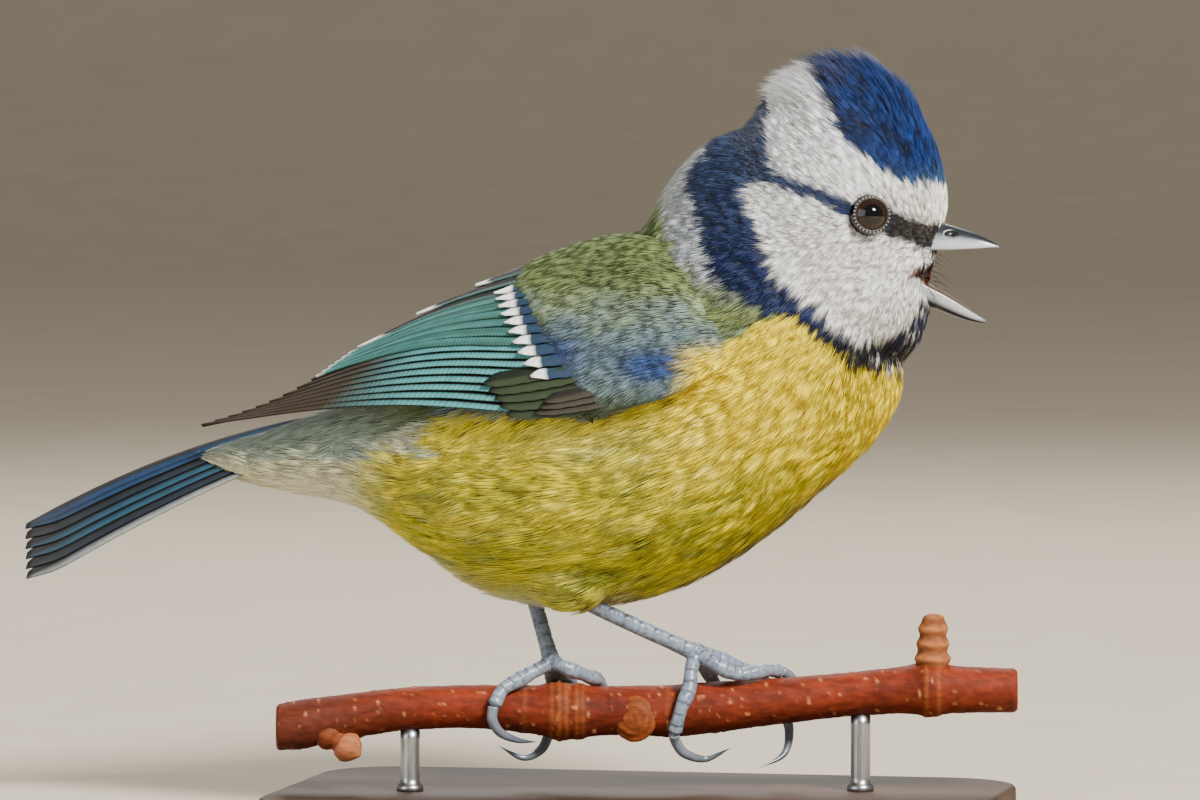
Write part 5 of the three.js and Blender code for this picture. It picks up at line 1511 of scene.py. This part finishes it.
def arm_rings(side):
    rings = []
    for i in range(ARM_STEPS):
        t = i / (ARM_STEPS - 1)
        rise = (min(1.0, (ARM_STEPS - 1 - i) / 5) * min(1.0, (i + 0.2) / 11)) ** 0.5
        swell = 1.1 * math.sin(math.pi * (0.16 + 0.6 * t))
        face, back = [], []
        for q in np.linspace(0, 1, 22):
            along = np.interp(q, ARM_END_AT, ARM_END) * t
            high = -1.6 + (2.05 + swell * (0.4 + 2.4 * q * (1 - q))) * rise
            face.append(on_wing(along, q, high, side))
            back.append(on_wing(along, 0.06 + 0.88 * q, -2.4, side))
        rings.append(face + back[::-1])
    return rings


def arm_lie(points):
    row = np.tile(np.array(ARM_LIE), (len(points), 1))
    row[:, 1] += 0.012 * (points[:, 2] - 56)
    row[:, 2] += 0.02 * (8 - points[:, 0])
    return row


def arm_markings(points):
    x, z = points[:, 0], points[:, 2]
    broad = sway(points, 3.0, 19.0)
    tone = blended(HUES["slate"], HUES["moss_pale"], 0.5 * (z - 55) / 3 + 0.6 * broad)
    tone = blended(tone, HUES["moss"], (z - 58) / 3)
    blue = np.exp(-(((x + 6.5) / 3.6) ** 2 + ((z - 52.5) / 2.4) ** 2))
    blue += np.exp(-(((x - 6.5) / 6) ** 2 + ((z - 51.9) / 1.7) ** 2))
    tone = blended(tone, HUES["moss_dark"], (49.5 - z) / 2.5)
    tone = blended(tone, HUES["blue_covert"], 1.25 * blue * (1 + broad))
    edge = np.clip((x - 7) / 3, 0, 1) * np.clip((54.5 - z) / 2, 0, 1)
    return np.clip(blended(tone, HUES["breast"], edge), 0, 1)


for name, side in (("left", 1), ("right", -1)):
    arm = piece(f"wing_arm_{name}", *loft(arm_rings(side)))
    lay_coat_data(arm, 4.4, arm_lie, arm_markings)
    keep_zones(arm, np.ones(len(arm.data.polygons)))
    grow_coat(f"coat_wing_arm_{name}", arm, soft, "plumage_body", 1, 31 + side, f"wing_{name}")
    fit(arm, under_skin(), "plumage_body", f"wing_{name}")
bpy.data.objects.remove(tuft)

# The tail: twelve narrow quills in a closed fan, folded down a little on each side of the
# middle pair, blue on the outer webs and edged with white outside.
TAIL = {
    "per_side": 6, "root_x": -38, "root_z": 44.8, "long": 32.7, "drop": 0.2, "bend": 0.0055, "fan": 0.165,
    "wide": 5.6, "fold": 0.62, "roll": 0.16, "step": 0.32, "stagger": 1.6,
}
tail_form = smooth_columns([[f] for f in (0.4, 0.6, 0.8, 0.92, 1.0, 1.0, 0.98, 0.86, 0.2)])


def tail_paint(k):
    def paint(t, q):
        blue = mixed(ink("#1f3c5e"), ink("#2f6470"), 0.5 if k in (2, 3) else 0.0)
        outer = ink("#8f9494") if k == 5 else mixed(blue, ink("#262d34"), 0.9 if k in (1, 4) else 0.1)
        tone = mixed(outer, ink("#2a2826"), (q - 0.16) / 0.08 if k else (q - 0.62) / 0.1)
        tone = mixed(tone, INK, 0.85 * math.exp(-(((q - 0.31) / 0.05) ** 2)))
        tone = mixed(tone, ink("#4a4a48"), 0.5 * (t - 0.7) / 0.3)
        return mixed(tone, INK, (0.03 - q) / 0.03 * (0.3 if k == 5 else 0.9))
    return paint


def tail_quill(side, k):
    away = TAIL["fan"] * (k + 0.25) / TAIL["per_side"]
    length = TAIL["long"] - TAIL["stagger"] * k / (TAIL["per_side"] - 1)

    def place(t, q):
        back = length * t
        middle = back * math.tan(away) + 0.42 * k
        half = TAIL["wide"] / 2 * max(0.1, tail_form(t)[0]) * (0.62 + 0.38 * t)
        inner, outer = max(0.05, middle - half * 0.7), middle + half
        beside = side * (outer + (inner - outer) * q)
        folded = beside * math.cos(TAIL["fold"])
        down = abs(beside) * math.sin(TAIL["fold"]) + TAIL["step"] * k
        ridge = 0.08 * shaft_ridge(q)
        y = folded * math.cos(TAIL["roll"]) - down * math.sin(TAIL["roll"]) * 0.2
        z = -down + folded * math.sin(TAIL["roll"]) + ridge
        fall = back * (TAIL["drop"] + back * TAIL["bend"])
        return np.array([TAIL["root_x"] - back, y, TAIL["root_z"] - fall + z])

    return blade(place, 34, COLUMNS, -0.14 * side, tail_paint(k))


tail = bundle("tail_quills", [tail_quill(side, k) for side in (1, -1) for k in range(TAIL["per_side"])])
fit(tail, vane_material, "flight_feathers", "tail")

# The studio: a plain pale floor that sweeps up far behind the bird, a large soft key from the
# upper right front, a fill from the left and a low rim from behind. In metres.
SWEEP = [(-3.0, 0.0), (1.6, 0.0), (2.0, 0.05), (2.3, 0.2), (2.5, 0.5), (2.55, 1.0), (2.55, 2.5)]
SWEEP_HALF = 4.0
count = len(SWEEP)
sweep_points = [(x / MM, y / MM, z / MM) for x in (-SWEEP_HALF, SWEEP_HALF) for y, z in SWEEP]
floor = piece("floor", sweep_points, [(i, i + 1, count + i + 1, count + i) for i in range(count - 1)])
paper = Finish("paper", roughness=0.9)
paper.colour(paper.ramp(paper.grain(paper.place(), 60.0), (0.3, ink("#c9bda8")), (0.7, ink("#cec2ae"))))
floor.data.materials.append(paper.material)


def lamp(name, at, toward, size, power, colour):
    data = bpy.data.lights.new(name, "AREA")
    data.size = size
    data.energy = power
    data.color = colour
    made = bpy.data.objects.new(name, data)
    made.location = at
    made.rotation_euler = (Vector(toward) - Vector(at)).to_track_quat("-Z", "Y").to_euler()
    bpy.context.collection.objects.link(made)


lamp("key", (0.42, -0.42, 0.5), (0, 0, 0.05), 0.16, 13.5, (1.0, 0.98, 0.94))
lamp("fill", (-0.5, -0.5, 0.25), (0, 0, 0.05), 0.5, 2.0, (0.9, 0.95, 1.0))
lamp("rim", (-0.1, 0.45, 0.45), (0, 0, 0.06), 0.3, 2.6, (1.0, 0.98, 0.95))
world = bpy.context.scene.world or bpy.data.worlds.new("studio")
bpy.context.scene.world = world
world.use_nodes = True
world.node_tree.nodes["Background"].inputs["Color"].default_value = (0.86, 0.84, 0.8, 1)
world.node_tree.nodes["Background"].inputs["Strength"].default_value = 0.34

# The camera stands where the photograph was taken from: a long lens, a little above the
# perch and a little in front of the bird's right side.
AZIMUTH, ELEVATION, AWAY = math.radians(12), math.radians(3), 0.926
target = Vector((-0.00454, 0, 0.047))
level = math.cos(ELEVATION)
back = Vector((math.sin(AZIMUTH) * level, -math.cos(AZIMUTH) * level, math.sin(ELEVATION)))
lens = bpy.data.cameras.new("camera")
lens.lens, lens.sensor_width = 250, 36
lens.clip_start, lens.clip_end = 0.01, 20
camera = bpy.data.objects.new("camera", lens)
camera.location = target + back * AWAY
camera.rotation_euler = (-back).to_track_quat("-Z", "Y").to_euler()
bpy.context.collection.objects.link(camera)
bpy.context.scene.camera = camera
